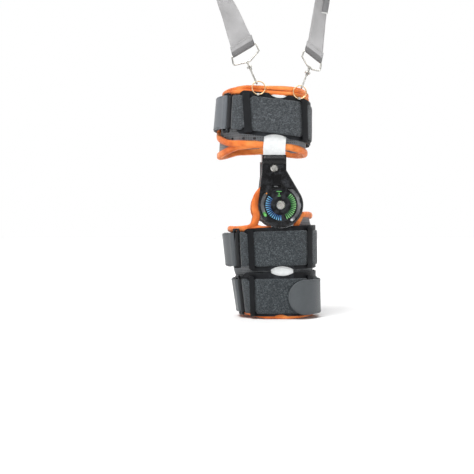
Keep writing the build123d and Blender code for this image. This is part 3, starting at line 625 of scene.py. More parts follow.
def plastic(
    name, dark, light, rough_low, rough_high, grain=420.0, grip=0.25, coat=0.0, worn=(60, 62, 66), gloss=0.14
):
    """Moulded plastic: fine texture, uneven gloss and paler worn edges."""
    p = Paint(name)
    flat = p.place()
    fine, broad = p.noise(flat, grain, 3.0, 0.6), p.noise(flat, 22, 3.0)
    edge = p.ramp(p.add("NewGeometry").outputs["Pointiness"], (0.52, 0.0), (0.60, 0.55))
    scuff = p.sums("MULTIPLY", edge, p.ramp(p.noise(flat, 130, 3.0), (0.42, 0.0), (0.6, 1.0)))
    uneven = p.sums("ADD", p.sums("MULTIPLY", fine, 0.4), p.sums("MULTIPLY", broad, 0.6))
    return p.finish(
        Base_Color=p.mix(scuff, p.ramp(broad, (0.3, dark), (0.7, light)), worn),
        Roughness=p.ramp(uneven, (0.3, rough_low), (0.7, rough_high)),
        Coat_Weight=coat,
        Coat_Roughness=0.12,
        Specular_IOR_Level=gloss,
        Normal=p.bump(fine, grip, 0.00012),
    )


def metal(name, dark, light, rough_low, rough_high, stretch=(1, 1, 1), scale=700.0):
    """Plated metal: faint drawing lines, smudges and uneven polish."""
    p = Paint(name)
    drawn, smudge = p.noise(p.place(stretch), scale, 3.0, 0.6), p.noise(p.place(), 90, 3.0)
    polish = p.sums("ADD", p.sums("MULTIPLY", drawn, 0.5), p.sums("MULTIPLY", smudge, 0.5))
    return p.finish(
        Base_Color=p.ramp(smudge, (0.3, dark), (0.65, light)),
        Metallic=1.0,
        Roughness=p.ramp(polish, (0.3, rough_low), (0.7, rough_high)),
        Normal=p.bump(drawn, 0.12, 0.0001),
    )


def enamel(name, dark, light, rough=(0.3, 0.5)):
    """Painted or printed finish: slight unevenness in colour and gloss."""
    p = Paint(name)
    tone, fine = p.noise(p.place(), 160, 3.0), p.noise(p.place(), 900, 2.0)
    return p.finish(
        Base_Color=p.ramp(tone, (0.3, dark), (0.7, light)),
        Roughness=p.ramp(fine, (0.3, rough[0]), (0.7, rough[1])),
        Specular_IOR_Level=0.5,
        Normal=p.bump(fine, 0.12, 0.0001),
    )


FELT_THIGH = felt("felt_thigh", (40, 43, 46), (69, 73, 76), (114, 119, 123))
FELT_CALF = felt("felt_calf", (34, 38, 41), (60, 65, 68), (103, 109, 113))
TAB_LIGHT = knit("tab_knit_front", (94, 98, 103), (110, 114, 119))
TAB_DARK = knit("tab_knit", (74, 78, 81), (88, 92, 95))
LINER = liner_cloth("liner_mesh", (104, 107, 110), (134, 137, 140))
BINDING = binding_cloth("binding_tape", (205, 96, 36), (240, 130, 58), (254, 158, 84))
WEBBING = webbing_cloth("suspender_webbing", (124, 123, 123), (190, 189, 190))
# Painted shade: a darker copy of the same webbing, for the tail where it lies on the rear strand.
WEBBING_SHADED = webbing_cloth("suspender_webbing_shaded", (104, 104, 106), (148, 148, 149))
# Hem copy with a painted shade band from 8.5 mm along the hem strip, at and behind the loop's bar.
WEBBING_HEM_SHADED = webbing_cloth("suspender_webbing_hem_shaded", (124, 123, 123), (186, 185, 186), 0.0085)
WEBBING_END = knit("webbing_cut_end", (206, 206, 204), (232, 232, 230))
THREAD = enamel("thread", (150, 150, 148), (178, 178, 176), (0.6, 0.8))
THREAD_DARK = enamel("thread_dark", (52, 55, 57), (70, 73, 75), (0.6, 0.8))
SHELL = plastic("shell_plastic", (16, 17, 19), (26, 28, 31), 0.34, 0.5, worn=(54, 57, 61))
COVER = plastic("cover_plastic", (7, 7, 8), (12, 12, 14), 0.2, 0.32, 300.0, 0.1, 0.2, (60, 62, 66), 0.22)
BUTTON = plastic("lock_plastic", (9, 9, 10), (18, 18, 19), 0.3, 0.45, 500.0, 0.2)
KEEPER = knit("keeper_webbing", (19, 20, 22), (30, 31, 34), 900.0, 0.1)
RING_PLASTIC = plastic("strap_ring_plastic", (14, 15, 16), (24, 25, 27), 0.25, 0.4, 400.0, 0.15)
DIAL = plastic("dial_face", (8, 9, 11), (14, 15, 18), 0.28, 0.4, 700.0, 0.08)
GREEN = enamel("stop_green", (64, 158, 66), (128, 210, 116))
SLOT_GREY = enamel("slot_grey", (168, 171, 175), (196, 198, 202))
AMBER = enamel("amber_dot", (206, 122, 34), (240, 160, 60))
WHITE_BAR = enamel("bar_white", (222, 225, 225), (238, 240, 240), (0.28, 0.42))
STEEL = metal("zinc_steel", (150, 152, 155), (196, 198, 200), 0.25, 0.42)
SCREW = metal("screw_nickel", (212, 210, 204), (244, 242, 236), 0.12, 0.26)
WIRE = metal("nickel_wire", (150, 148, 143), (200, 198, 192), 0.14, 0.3)
PALE_GOLD = metal("pale_gold_wire", (196, 160, 116), (232, 204, 164), 0.16, 0.3)
BRONZE = metal("bush_bronze", (150, 112, 62), (186, 146, 92), 0.25, 0.4)


def paint_cad():
    """Material for every CAD node that stays in view."""
    finishes = (
        (SHELL, ("thigh_shell", "upper_calf_shell", "lower_calf_shell")),
        (WHITE_BAR, ("thigh_bar",)),
        (bar_with_disc(), ("calf_bar",)),
        (COVER, ("hinge_cover",)),
        (STEEL, ("hinge_back_plate",)),
        (BUTTON, ("lock_slider",)),
        (GREEN, ("extension_stop",)),
        (SLOT_GREY, ("flexion_stop",)),
    )
    for finish, names in finishes:
        for name in names:
            for side in ("lateral", "medial"):
                paint_node(f"{side}_{name}", finish)
    singles = (
        (RING_PLASTIC, ("thigh_strap_ring", "upper_calf_strap_ring", "lower_calf_strap_ring")),
        (STEEL, ("thigh_shell_rivets", "calf_shell_rivets", "hinge_nuts")),
        (WIRE, ("ring_staples", "front_strap_loop", "rear_strap_loop", "webbing_slider")),
        (WIRE, ("front_snap_hook", "rear_snap_hook", "front_hook_gate", "rear_hook_gate")),
        (PALE_GOLD, ("front_suspension_ring", "rear_suspension_ring")),
        (BRONZE, ("pivot_bushes",)),
        (DIAL, ("dial_plates",)),
        (SCREW, ("pivot_screws", "arm_screws")),
    )
    for finish, names in singles:
        for name in names:
            paint_node(name, finish)


def mark_paint(name, deep, pale):
    """Printed scale colour, deep at the inner end of each mark, and paler outwards as a painted highlight."""
    p = Paint(name)
    split, reach = p.pivot_reach()
    share = p.sums("DIVIDE", p.sums("SUBTRACT", reach, 0.0172), 0.009)
    fine = p.noise(p.place(), 900, 2.0)
    uneven = p.sums("ADD", share, p.sums("MULTIPLY", p.sums("SUBTRACT", fine, 0.5), 0.5))
    return p.finish(
        Base_Color=p.ramp(uneven, (0.15, deep), (0.9, pale)),
        Roughness=p.ramp(fine, (0.3, 0.35), (0.7, 0.5)),
        Normal=p.bump(fine, 0.1, 0.0001),
    )


def bar_with_disc():
    """White paint down the bar; grey disc inside the hinge, dark where the lock slides over it."""
    p = Paint("bar_white_dark_disc")
    split, reach = p.pivot_reach()
    tone, fine = p.noise(p.place(), 160, 3.0), p.noise(p.place(), 900, 2.0)
    inside = p.ramp(p.sums("MULTIPLY", reach, 10.0), (0.39, 1.0), (0.40, 0.0))
    above = p.ramp(p.sums("MULTIPLY", split.outputs["Z"], 10.0), (0.272, 0.0), (0.280, 1.0))
    white = p.ramp(tone, (0.3, (222, 225, 225)), (0.7, (238, 240, 240)))
    disc_grey = p.ramp(tone, (0.3, (182, 185, 189)), (0.7, (206, 208, 212)))
    disc_dark = p.ramp(tone, (0.3, (16, 16, 18)), (0.7, (24, 25, 27)))
    return p.finish(
        Base_Color=p.mix(inside, white, p.mix(above, disc_grey, disc_dark)),
        Roughness=p.ramp(fine, (0.3, 0.3), (0.7, 0.44)),
        Specular_IOR_Level=0.4,
        Normal=p.bump(fine, 0.12, 0.0001),
    )


def paint_node(name, material):
    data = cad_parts[name].data
    data.materials.clear()
    data.materials.append(material)


# ---- foam liners ----


def wall_grid(cuff, top, bottom, thin, count, profile):
    """Closed foam shell between two edge lines; profile lists a section's (height share, depth share)."""
    s = np.linspace(0, cuff.length, count, endpoint=False)
    x = cuff.seen_x(s)
    high, low = edge_height(top, x) - thin, edge_height(bottom, x) + thin
    rings = []
    for share, depth in profile:
        z = low + (high - low) * share
        rings.append(cuff.at(s, z, -LINER_THICK / 2 + depth * (LINER_THICK / 2 - thin)))
    points = np.stack(rings, 1)
    grid = np.arange(count * len(profile)).reshape(count, len(profile))
    after, down = np.roll(grid, -1, 0), np.roll(grid, -1, 1)
    faces = np.stack([grid, down, np.roll(after, -1, 1), after], -1).reshape(-1, 4)
    return points.reshape(-1, 3), faces


def lobe_mesh(side):
    """Round condyle pad behind the hinge, on one side of the leg."""
    turn = np.linspace(0, 2 * math.pi, 72, endpoint=False)
    rim = np.stack([LOBE_X + (LOBE_R - 5) * np.cos(turn), np.maximum((LOBE_R - 5) * np.sin(turn), -46)], 1)
    centre = np.array([LOBE_X, 0.0])
    steps, depths = (1.0, 0.75, 0.5, 0.25), (57.4, 62.4)
    points, faces = [], []
    n = len(rim)
    block = n * len(steps) + 1
    for layer, depth in enumerate(depths):
        base = layer * block
        for k in steps:
            points += [(x, side * depth, z) for x, z in centre + (rim - centre) * k]
        points.append((centre[0], side * depth, centre[1]))
        for j in range(n):
            k = (j + 1) % n
            for r in range(len(steps) - 1):
                faces.append((base + r * n + j, base + r * n + k, base + (r + 1) * n + k, base + (r + 1) * n + j))
            faces.append((base + (len(steps) - 1) * n + j, base + (len(steps) - 1) * n + k, base + block - 1))
    for j in range(n):
        k = (j + 1) % n
        faces.append((j, k, k + block, j + block))
    return points, faces


LOBE_X, LOBE_R = -8.0, 42.0


def swell(obj, frames=20, pressure=4.0):
    """Cloth simulation that blows a closed foam piece up a little, applied to the mesh."""
    remesh = obj.modifiers.new("remesh", "REMESH")
    remesh.mode, remesh.voxel_size, remesh.use_smooth_shade = "VOXEL", 0.0045, True
    apply_modifiers(obj)
    before = vertex_array(obj)
    cloth = obj.modifiers.new("cloth", "CLOTH")
    cloth.settings.use_pressure = True
    cloth.settings.uniform_pressure_force = pressure
    cloth.settings.effector_weights.gravity = 0
    cloth.settings.quality = 5
    cloth.settings.tension_stiffness = cloth.settings.compression_stiffness = 30
    cloth.collision_settings.use_collision = False
    cloth.point_cache.frame_start, cloth.point_cache.frame_end = 1, frames
    for step in range(1, frames + 1):
        bpy.context.scene.frame_set(step)
    apply_modifiers(obj)
    bpy.context.scene.frame_set(1)
    return before


def apply_modifiers(obj):
    graph = bpy.context.evaluated_depsgraph_get()
    made = bpy.data.meshes.new_from_object(obj.evaluated_get(graph))
    obj.modifiers.clear()
    old, obj.data = obj.data, made
    bpy.data.meshes.remove(old)


def vertex_array(obj):
    flat = np.empty(len(obj.data.vertices) * 3)
    obj.data.vertices.foreach_get("co", flat)
    return flat.reshape(-1, 3)


def make_liner(name, cuff, top, bottom, extra, room, body, replaces):
    """Foam liner: swollen by simulation, kept inside the room its neighbours leave, and unwrapped."""
    profile = [(0.0, 0.0), (0.012, 0.7), (0.04, 1.0)] + [(f, 1.0) for f in np.linspace(0.12, 0.88, 7)]
    profile += [(0.96, 1.0), (0.988, 0.7), (1.0, 0.0), (0.988, -0.7), (0.96, -1.0)]
    profile += [(f, -1.0) for f in np.linspace(0.88, 0.12, 7)] + [(0.04, -1.0), (0.012, -0.7)]
    points, faces = wall_grid(cuff, top, bottom, 1.6, 150, profile)
    points, faces = list(map(tuple, points)), [tuple(f) for f in faces]
    for more_points, more_faces in extra:
        first = len(points)
        points += more_points
        faces += [tuple(first + i for i in f) for f in more_faces]
    obj = new_mesh(name, to_world(points), faces)
    tidy = bmesh.new()
    tidy.from_mesh(obj.data)
    bmesh.ops.recalc_face_normals(tidy, faces=tidy.faces)
    tidy.to_mesh(obj.data)
    tidy.free()
    before = swell(obj)
    after = vertex_array(obj)
    move = after - before
    size = np.linalg.norm(move, axis=1, keepdims=True)
    here = before / MM - (KNEE_X, 0.0, KNEE_Z)
    cap = room(here) * MM
    limited = before + move * np.minimum(1.0, cap[:, None] / np.maximum(size, 1e-9))
    obj.data.vertices.foreach_set("co", limited.ravel())
    smooth = obj.modifiers.new("smooth", "SMOOTH")
    smooth.factor, smooth.iterations = 0.5, 3
    fine = obj.modifiers.new("fine", "SUBSURF")
    fine.levels = fine.render_levels = 1
    apply_modifiers(obj)
    here = vertex_array(obj) / MM - (KNEE_X, 0.0, KNEE_Z)
    set_uv(obj, cuff.unwrap(here))
    mend_seam(obj, cuff.length * MM)
    obj.data.polygons.foreach_set("use_smooth", [True] * len(obj.data.polygons))
    finished(obj, body, LINER, replaces)
    return obj


def mend_seam(obj, length):
    """Faces across the unwrapping's ends get continuous coordinates."""
    layer = obj.data.uv_layers["UVMap"]
    uv = np.empty(len(layer.data) * 2)
    layer.data.foreach_get("uv", uv)
    uv = uv.reshape(-1, 2)
    for face in obj.data.polygons:
        loops = list(face.loop_indices)
        along = uv[loops, 0]
        if along.max() - along.min() > length / 2:
            uv[loops, 0] = np.where(along < length / 2, along + length, along)
    layer.data.foreach_set("uv", uv.ravel())


def thigh_room(here):
    """How far the thigh liner may swell: little behind the bars, a few millimetres elsewhere."""
    on_bar = (np.abs(here[:, 0] + 3) < 32) & (np.abs(here[:, 1]) > 60)
    return np.where(on_bar, 0.8, 2.6)


def calf_room(here):
    on_bar = (np.abs(here[:, 0] - 2.8) < 27) & (np.abs(here[:, 1]) > 60)
    lobe = (here[:, 2] > -44) & (np.abs(here[:, 1]) > 50) & (np.hypot(here[:, 0], here[:, 2]) < 46)
    return np.where(on_bar | lobe, 0.8, 2.6)


# ---- bindings ----


def edge_path(cuff, line, drop, offset, step=2.2):
    """Closed path round a cuff's edge, drop below (or above) the edge line."""
    s = np.linspace(0, cuff.length, int(cuff.length / step), endpoint=False)
    x = cuff.seen_x(s)
    wide = np.ones(9) / 9
    z = edge_height(line, x)
    z = np.convolve(np.concatenate([z[-4:], z, z[:4]]), wide, "valid") + drop
    return s, cuff.at(s, z, offset), cuff.outward(s, z)


BINDING_NODES = {
    "thigh_top_binding_tape": ("thigh_binding",),
    "calf_bottom_binding_tape": ("calf_binding",),
}


def make_bindings():
    tubes = []
    for name, cuff, line, drop in (
        ("thigh_top", THIGH, THIGH_TOP, -5.0),
        ("thigh_bottom", THIGH, THIGH_BOTTOM, 4.8),
        ("calf_bottom", CALF, CALF_BOTTOM, 5.5),
    ):
        low_rim = name == "calf_bottom"
        s, path, side = edge_path(cuff, line, drop, -1.9 if low_rim else -3.7)
        up = {"thigh_top": 4.9, "thigh_bottom": 6.0, "calf_bottom": 5.5}[name]
        across = np.full(len(s), 6.0 if low_rim else 5.2)
        near_bar = (np.abs(cuff.seen_x(s) + 3) < 30) & (np.abs(path[:, 1]) > 55) & (not low_rim)
        across[near_bar] = 4.2
        shift = np.where(near_bar, -0.9, 0.0)[:, None] * side
        across = np.convolve(np.concatenate([across[-3:], across, across[:3]]), np.ones(7) / 7, "valid")
        tubes.append(
            tube_mesh(f"{name}_binding_tape", path + shift, side, across, up, True, 0.085, len(tubes) * 7.0, 2.5)
        )
    tubes.append(make_calf_top_binding())
    tubes += make_lobe_bindings()
    tubes += make_flap_bindings()
    for obj in tubes:
        name = obj.name
        replaced = BINDING_NODES.get(name, ())
        finished(obj, "thigh_cuff" if name.startswith("thigh") else "calf", BINDING, replaced)


def round_the_leg(cuff, front_knots, rear_knots, lateral):
    """Closed list of (s, z, offset) from lateral knots, mirrored to the medial side past the rear."""
    medial = [(2 * cuff.rear_s - s, z, off) for s, z, off in reversed(lateral)]
    return front_knots + lateral + rear_knots + medial


def make_calf_top_binding():
    """The tape along the calf liner's top edge, dipping behind each hinge."""
    s_at = CALF.s_at
    lateral = [(s_at(-86), -39.8, -3.6), (s_at(-72), -40.2, -3.6), (-56, -38.5, -4.0), (-46, -36.4, -5.2)]
    lateral += [(-30, -40.5, -6.8), (0, -42.5, -7.0), (24, -38.5, -6.8), (34, -26, -6.2), (40, -17.5, -5.0)]
    lateral += [(48, -15.2, -4.2), (s_at(57), -15.0, -3.6)]
    knots = round_the_leg(CALF, [(CALF.front_s, -40.5, -3.6)], [(CALF.rear_s, -17, -3.6)], lateral)
    s, z, off = smooth_curve(knots, 2.2, closed=True).T
    path, side = CALF.at(s, z, off), CALF.outward(s, z)
    return tube_mesh("calf_top_binding_tape", path, side, 4.7, 4.9, True, 0.085, 31.0, 2.4)


def make_lobe_bindings():
    """Fat bound edge of the condyle pad that shows in front of each hinge."""
    made = []
    for side, name in ((-1, "lateral"), (1, "medial")):
        turn = np.radians(np.linspace(206, -48, 24))
        radius = LOBE_R - 6.2
        knots = [(-60, 52.6, -41.0), (-52, 55.6, -38.6), (-45.5, 57.8, -33.0), (-42.4, 59.0, -25.0)]
        knots += [(LOBE_X + radius * math.cos(a), 59.4, radius * math.sin(a)) for a in turn]
        path = smooth_curve(knots, 2.0) * (1, side, 1)
        out = np.broadcast_to(np.array([0.0, side, 0.0]), path.shape)
        made.append(tube_mesh(f"{name}_lobe_binding_tape", path, out, 4.5, 6.2, False, 0.075, 40.0 + side, 2.3))
    return made


def make_flap_bindings():
    """Edges of the thigh liner's outer wrap: under the strap at the front, and stacked below the top rim."""
    s = THIGH.s_at
    front = THIGH.front_s
    lower = [(front - 3, 152, 0.0), (front - 1, 139, 0.6), (front + 4, 127, 0.9), (s(-97), 115.5, 1.1)]
    lower += [(s(-84), 109.0, 1.0), (s(-66), 106.8, 0.4), (-45, 106.4, -2.4), (-28, 105.8, -4.4), (-6, 103.6, -5.4)]
    upper = [(s(-100), 198.6, -2.0), (s(-80), 197.4, 1.0), (s(-55), 196.2, 1.6), (-25, 194.6, 0.6), (0, 193.6, -0.8)]
    upper += [(22, 192.0, 1.2), (36, 190.2, 1.2), (s(50), 188.6, 0.2), (s(60), 188.6, -2.4)]
    third = [(s(-84), 204.0, -3.4), (s(-62), 204.6, 0.4), (-34, 203.4, 1.2), (-14, 202.0, 1.4), (8, 200.4, 1.6)]
    third += [(26, 198.4, 1.8), (40, 197.0, 1.2), (s(52), 196.4, 0.0), (s(62), 197, -3.0)]
    made = []
    for name, knots, across, up, seed in (
        ("thigh_flap_binding_tape", lower, 4.3, 5.8, 3.0),
        ("thigh_wrap_binding_tape", upper, 3.0, 3.9, 11.0),
        ("thigh_fold_binding_tape", third, 2.4, 3.0, 19.0),
    ):
        path = smooth_curve(knots, 2.0)
        along, z, off = path.T
        made.append(
            tube_mesh(name, THIGH.at(along, z, off), THIGH.outward(along, z), across, up, False, 0.09, seed, 2.3)
        )
    return made


# ---- straps and tabs ----


def strap_sheet(name, cuff, strap, knots, half_wide, half_thick, step=2.4, shoulders=()):
    """Ribbon of felt or knit along a path of (s, offset) round a cuff, at the strap's tilt."""
    centre_z, tilt = strap
    path = smooth_curve(knots, step)
    s, off = path.T
    run = np.concatenate([[0], np.cumsum(np.hypot(np.diff(s), np.diff(off)))])
    wide = np.full(len(s), float(half_wide))
    for low, high, cut, radius in shoulders:
        inside = np.minimum(s - low, high - s)
        depth = np.clip(inside / radius + 1, 0, 1)
        wide -= cut * (1 - np.sqrt(np.clip(1 - depth**2, 0, 1)))
    end_round = 3.0
    for distance in (run, run[-1] - run):
        near = np.clip(1 - distance / end_round, 0, 1)
        wide -= end_round * (1 - np.sqrt(1 - near**2))
    share = np.linspace(-1, 1, 27)
    share = np.sign(share) * np.abs(share) ** 0.9
    across = wide[:, None] * share[None]
    middle_z = centre_z + cuff.seen_x(s) * math.tan(math.radians(tilt))
    z = middle_z[:, None] + across
    ripple = np.array([[noise.noise(Vector((a * 0.03, b * 0.05, 5.0))) for b in across[0]] for a in run])
    grid = cuff.at(np.broadcast_to(s[:, None], z.shape), z, off[:, None] + 0.25 * ripple)
    uv = np.stack([np.broadcast_to(run[:, None], z.shape), across], -1)
    return ribbon_mesh(name, grid, half_thick, uv)


RING_SCALE = 0.88


def keeper_knots(ring_s):
    """Path of the short black loop that holds a strap's end to the ring's rear bar."""
    steps = ((18, 5.7), (12, 5.7), (9.0, 5.8), (7.6, 6.8), (6.9, 8.6), (6.6, 10.4), (5.6, 11.7), (4.2, 12.0), (2.8, 11.2))
    steps += ((2.0, 9.0), (2.7, 6.6), (5.0, 5.0), (9, 4.3), (18, 4.2))
    return [(ring_s + RING_SCALE * a, b) for a, b in steps]


def front_knots(ring_s):
    """Path of a tab's fold round the ring's front bar, from the tab's layer to the strap's."""
    steps = ((-17, 10.8), (-12, 11.2), (-8.4, 12.3), (-5.2, 12.5), (-2.7, 11.3), (-1.8, 9.0), (-2.4, 6.6), (-5.4, 5.4))
    steps += ((-10.5, 6.4), (-15, 7.7), (-19, 7.9))
    return [(ring_s + RING_SCALE * a, b) for a, b in steps]


def even_knots(start, end, offset, step=14.0):
    count = max(int(abs(end - start) / step), 2)
    return [(s, offset) for s in np.linspace(start, end, count)]


def border_stitches(name, cuff, strap, s_values, across, offset, body, thread):
    """Stitch row at a constant distance across a strap."""
    centre_z, tilt = strap
    s = np.arange(min(s_values), max(s_values), 1.0)
    z = centre_z + cuff.seen_x(s) * math.tan(math.radians(tilt)) + across
    path = cuff.at(s, z, offset)
    return finished(stitches(name, path, cuff.outward(s, z)), body, thread)


def make_strap_set(name, cuff, strap, ring_x, tab_end_x, bridges, body, tab_finish, felt_finish):
    """One felt strap with its hem round the ring, and the smooth tab folded back from it."""
    ring_s = float(cuff.s_at(ring_x, STRAP_MID))
    start = ring_s - RING_SCALE * 19.5
    knots = even_knots(start, ring_s + RING_SCALE * 8.4 - cuff.length, STRAP_MID)
    keeper = strap_sheet(f"{name}_keeper", cuff, strap, keeper_knots(ring_s), STRAP_WIDTH / 2 - 1.5, 0.6, 1.2)
    finished(keeper, body, KEEPER)
    shoulders = []
    for low, high in bridges:
        lateral = (float(cuff.s_at(low, STRAP_MID)), float(cuff.s_at(high, STRAP_MID)))
        medial = tuple(sorted(cuff.medial(s) for s in lateral))
        shoulders += [(a - cuff.length, b - cuff.length, 4.5, 5.0) for a, b in (lateral,)]
        shoulders += [(a, b, 4.5, 5.0) for a, b in (medial,)]
    obj = strap_sheet(f"{name}_felt", cuff, strap, knots, STRAP_WIDTH / 2, 1.25, shoulders=shoulders)
    finished(obj, body, felt_finish, (name,))
    tab_end = float(cuff.medial(cuff.s_at(tab_end_x, TAB_MID)))
    fold = front_knots(ring_s)
    knots = even_knots(tab_end, ring_s - RING_SCALE * 26, TAB_MID)
    tab = strap_sheet(f"{name}_tab_knit", cuff, strap, knots + fold, STRAP_WIDTH / 2 - 1.0, 1.05)
    finished(tab, body, tab_finish, (f"{name}_tab",))
    reach = (tab_end + 3, ring_s - 12)
    for k, across in enumerate((STRAP_WIDTH / 2 - 3.4, 3.4 - STRAP_WIDTH / 2)):
        row = f"{name}_tab_stitches_{k + 1}"
        border_stitches(row, cuff, strap, reach, across, TAB_MID + 1.05, body, THREAD_DARK)
    return ring_s


def make_round_tab():
    """Broad round-ended tab over the lower calf strap, at the rear."""
    centre, radius, z0 = 43.0, 30.0, -158.0
    share = np.linspace(-1, 1, 41)
    across = radius * np.sin(share * math.pi / 2)
    left = CALF.s_at(centre - radius * np.cos(share * math.pi / 2), ROUND_TAB_MID)
    end = 2 * CALF.rear_s - float(CALF.s_at(57, ROUND_TAB_MID))
    along = np.linspace(0, 1, 70)[:, None]
    s = left[None] + (end - left[None]) * along
    corner = np.clip((s - end + 6) / 6, 0, 1)
    z = z0 + across[None] * (1 - 0.14 * (1 - np.sqrt(1 - corner**2)))
    lift = 0.35 * np.exp(-(((s - left[None]) / 7.0) ** 2))
    grid = CALF.at(s, z, ROUND_TAB_MID + lift)
    uv = np.stack([s, z], -1)
    obj = ribbon_mesh("round_tab_knit", grid, 1.0, uv, 4)
    finished(obj, "calf", TAB_DARK, ("lower_calf_round_tab",))
    turn = np.linspace(-80, 80, 90)
    ring = radius - 2.6
    rim_s = CALF.s_at(centre - ring * np.cos(np.radians(turn)), ROUND_TAB_MID)
    rim_z = z0 + ring * np.sin(np.radians(turn))
    tail = np.linspace(centre + 2, end - 8, 40)
    s_all = np.concatenate([tail[::-1], rim_s, tail])
    z_all = np.concatenate([np.full(40, rim_z[0]), rim_z, np.full(40, rim_z[-1])])
    path = CALF.at(s_all, z_all, ROUND_TAB_MID + 1.1)
    row = stitches("round_tab_stitches", path, CALF.outward(s_all, z_all))
    finished(row, "calf", THREAD_DARK)


# ---- suspender ----

BAIL_FRONT, BAIL_REAR = (-38.9, -75.2), (31.9, -72.0)


def bail(x, z, out=0.0):
    """Point in the upright plane through both staples."""
    slope = (BAIL_REAR[1] - BAIL_FRONT[1]) / (BAIL_REAR[0] - BAIL_FRONT[0])
    length = math.hypot(1, slope)
    start = BAIL_FRONT[1] - slope * BAIL_FRONT[0]
    return np.array([x / length + out * slope / length, start + x * slope / length - out / length, z])


def make_suspender():
    """Webbing: sewn round both wire loops, turning flat as it rises, and crossing over the top."""
    left = [bail(-82.3, 255.6), bail(-84.4, 266.0), bail(-91.5, 290.0), bail(-100.5, 320.0, 4.0)]
    right = [bail(-46.0, 277.6), bail(-50.6, 288.0), bail(-59.0, 306.0, -1.0), bail(-71.0, 334.0, -8.0)]
    left += [np.array(p) for p in ((-110.5, -82.5, 352), (-114.5, -84, 378), (-111, -84, 402), (-88, -84, 414))]
    right += [np.array(p) for p in ((-84.5, -55.5, 360), (-106.0, -47.5, 384), (-107, -45, 404), (-88, -44, 414))]
    for x, z in ((-50, 423.0), (-12, 427.5), (26, 423.6), (60, 414)):
        left.append(np.array((x, -84, z)))
        right.append(np.array((x, -44, z)))
    left += [np.array(p) for p in ((81, -84, 402), (71, -83, 378), (60, -80, 354))]
    right += [np.array(p) for p in ((83, -44, 402), (86, -48, 378), (84, -55, 354))]
    left += [bail(55.0, 330.0, 5.0), bail(50.8, 305.0, 3.0), bail(46.8, 282.0, 1.0), bail(42.4, 268.4)]
    right += [bail(80.6, 330.0, -11.0), bail(76.8, 300.0, -6.0), bail(73.2, 266.0, -1.0), bail(70.4, 246.6)]
    both = smooth_curve(np.hstack([np.array(left), np.array(right)]), 4.2)
    one, two = both[:, :3], both[:, 3:]
    share = np.linspace(0, 1, 21)
    grid = one[:, None] * (1 - share[None, :, None]) + two[:, None] * share[None, :, None]
    centre = (one + two) / 2
    run = run_along(centre)
    width = np.linalg.norm(two - one, axis=1)
    uv = np.stack([np.broadcast_to(run[:, None], grid.shape[:2]), width[:, None] * (share[None] - 0.5)], -1)
    obj = ribbon_mesh("suspender_webbing_strap", grid, 0.9, uv)
    finished(obj, "suspender", WEBBING, ("suspension_webbing",))
    make_webbing_tail(one, two)
    ends = (("front", grid[0], grid[5]), ("rear", grid[-1], grid[-6]))
    for name, bar, above in ends:
        make_webbing_hem(name, bar, above)


def make_webbing_tail(one, two):
    """Spare end of the webbing lying on the rear strand, cut square and sealed white."""
    after_top = np.arange(len(one)) > np.argmax(one[:, 2] + two[:, 2])
    rear = after_top & (two[:, 2] > 331) & (two[:, 2] < 404)
    one, two = one[rear], two[rear]
    outer, inner = two + unit(two - one) * 0.3, one * 0.42 + two * 0.58
    facing = unit(np.cross(np.gradient(inner, axis=0), outer - inner))
    facing *= np.sign((facing * (0.6, -1.0, 0.0)).sum(1, keepdims=True))
    share = np.linspace(0, 1, 9)[None, :, None]
    grid = (inner[:, None] * (1 - share) + outer[:, None] * share) + facing[:, None] * 2.1
    run = run_along(inner)
    width = float(np.linalg.norm(outer - inner, axis=1).mean())
    uv = strip_uv(run, share[..., 0] * width, grid.shape[:2])
    obj = ribbon_mesh("webbing_tail", grid, 0.8, uv)
    # The tail wears the darker webbing copy: painted shade, the tail is the same webbing as the strap.
    finished(obj, "suspender", WEBBING_SHADED)
    side = np.broadcast_to(facing[-1], grid[-1].shape)
    seal = tube_mesh("webbing_tail_end", grid[-1], side, 1.1, 1.2, False)
    finished(seal, "suspender", WEBBING_END)


def make_webbing_hem(name, bar, above):
    """End of the webbing turned round the loop's top bar and sewn to itself."""
    upward = unit((above - bar).mean(0))
    across = unit(bar[-1] - bar[0])
    facing = np.cross(across, upward)
    if facing[1] > 0:
        facing = -facing
    wide = np.linalg.norm(bar[-1] - bar[0]) + 0.6
    centre = bar.mean(0)
    profile = [(15.0, 1.9), (8.0, 2.1), (3.5, 2.6), (0.2, 2.9), (-2.4, 2.2), (-3.4, 0.0), (-2.4, -2.2), (0.2, -2.9)]
    profile += [(3.5, -2.3), (6.5, -1.9)]
    line = smooth_curve(profile, 1.0)
    share = np.linspace(-0.5, 0.5, 15)
    grid = (
        centre
        + line[:, None, :1] * upward
        + line[:, None, 1:] * facing
        + share[None, :, None] * wide * across
    )
    run = np.arange(len(line)) * 1.0
    uv = strip_uv(run, share * wide, grid.shape[:2])
    obj = ribbon_mesh(f"{name}_webbing_hem", grid, 0.8, uv)
    # The hem's material paints shade at and behind the loop's bar.
    finished(obj, "suspender", WEBBING_HEM_SHADED)
    for k, height in enumerate((5.2, 12.8)):
        ends = np.array([centre + upward * height + facing * 2.95 + across * wide * f for f in (-0.46, 0.46)])
        line = ends[0] + (ends[1] - ends[0]) * np.linspace(0, 1, 20)[:, None]
        row = stitches(f"{name}_hem_stitches_{k + 1}", line, np.broadcast_to(facing, line.shape))
        finished(row, "suspender", THREAD)


# ---- small parts ----


def make_eyelets():
    """Vent eyelets pressed into the thigh liner, in front of the bar."""
    for k, (x, z) in enumerate(((-93.0, 118.8), (-80.5, 116.6), (-62.5, 116.0), (-44.5, 115.4))):
        s = float(THIGH.s_at(x))
        turn = np.linspace(0, 2 * math.pi, 20, endpoint=False)
        path = THIGH.at(s + 1.25 * np.cos(turn), z + 1.25 * np.sin(turn), 0.9)
        side = np.broadcast_to(THIGH.outward(np.array([s]), np.array([z])), path.shape)
        obj = tube_mesh(f"vent_eyelet_{k + 1}", path, side, 0.9, 0.5, True)
        finished(obj, "thigh_cuff", BUTTON)


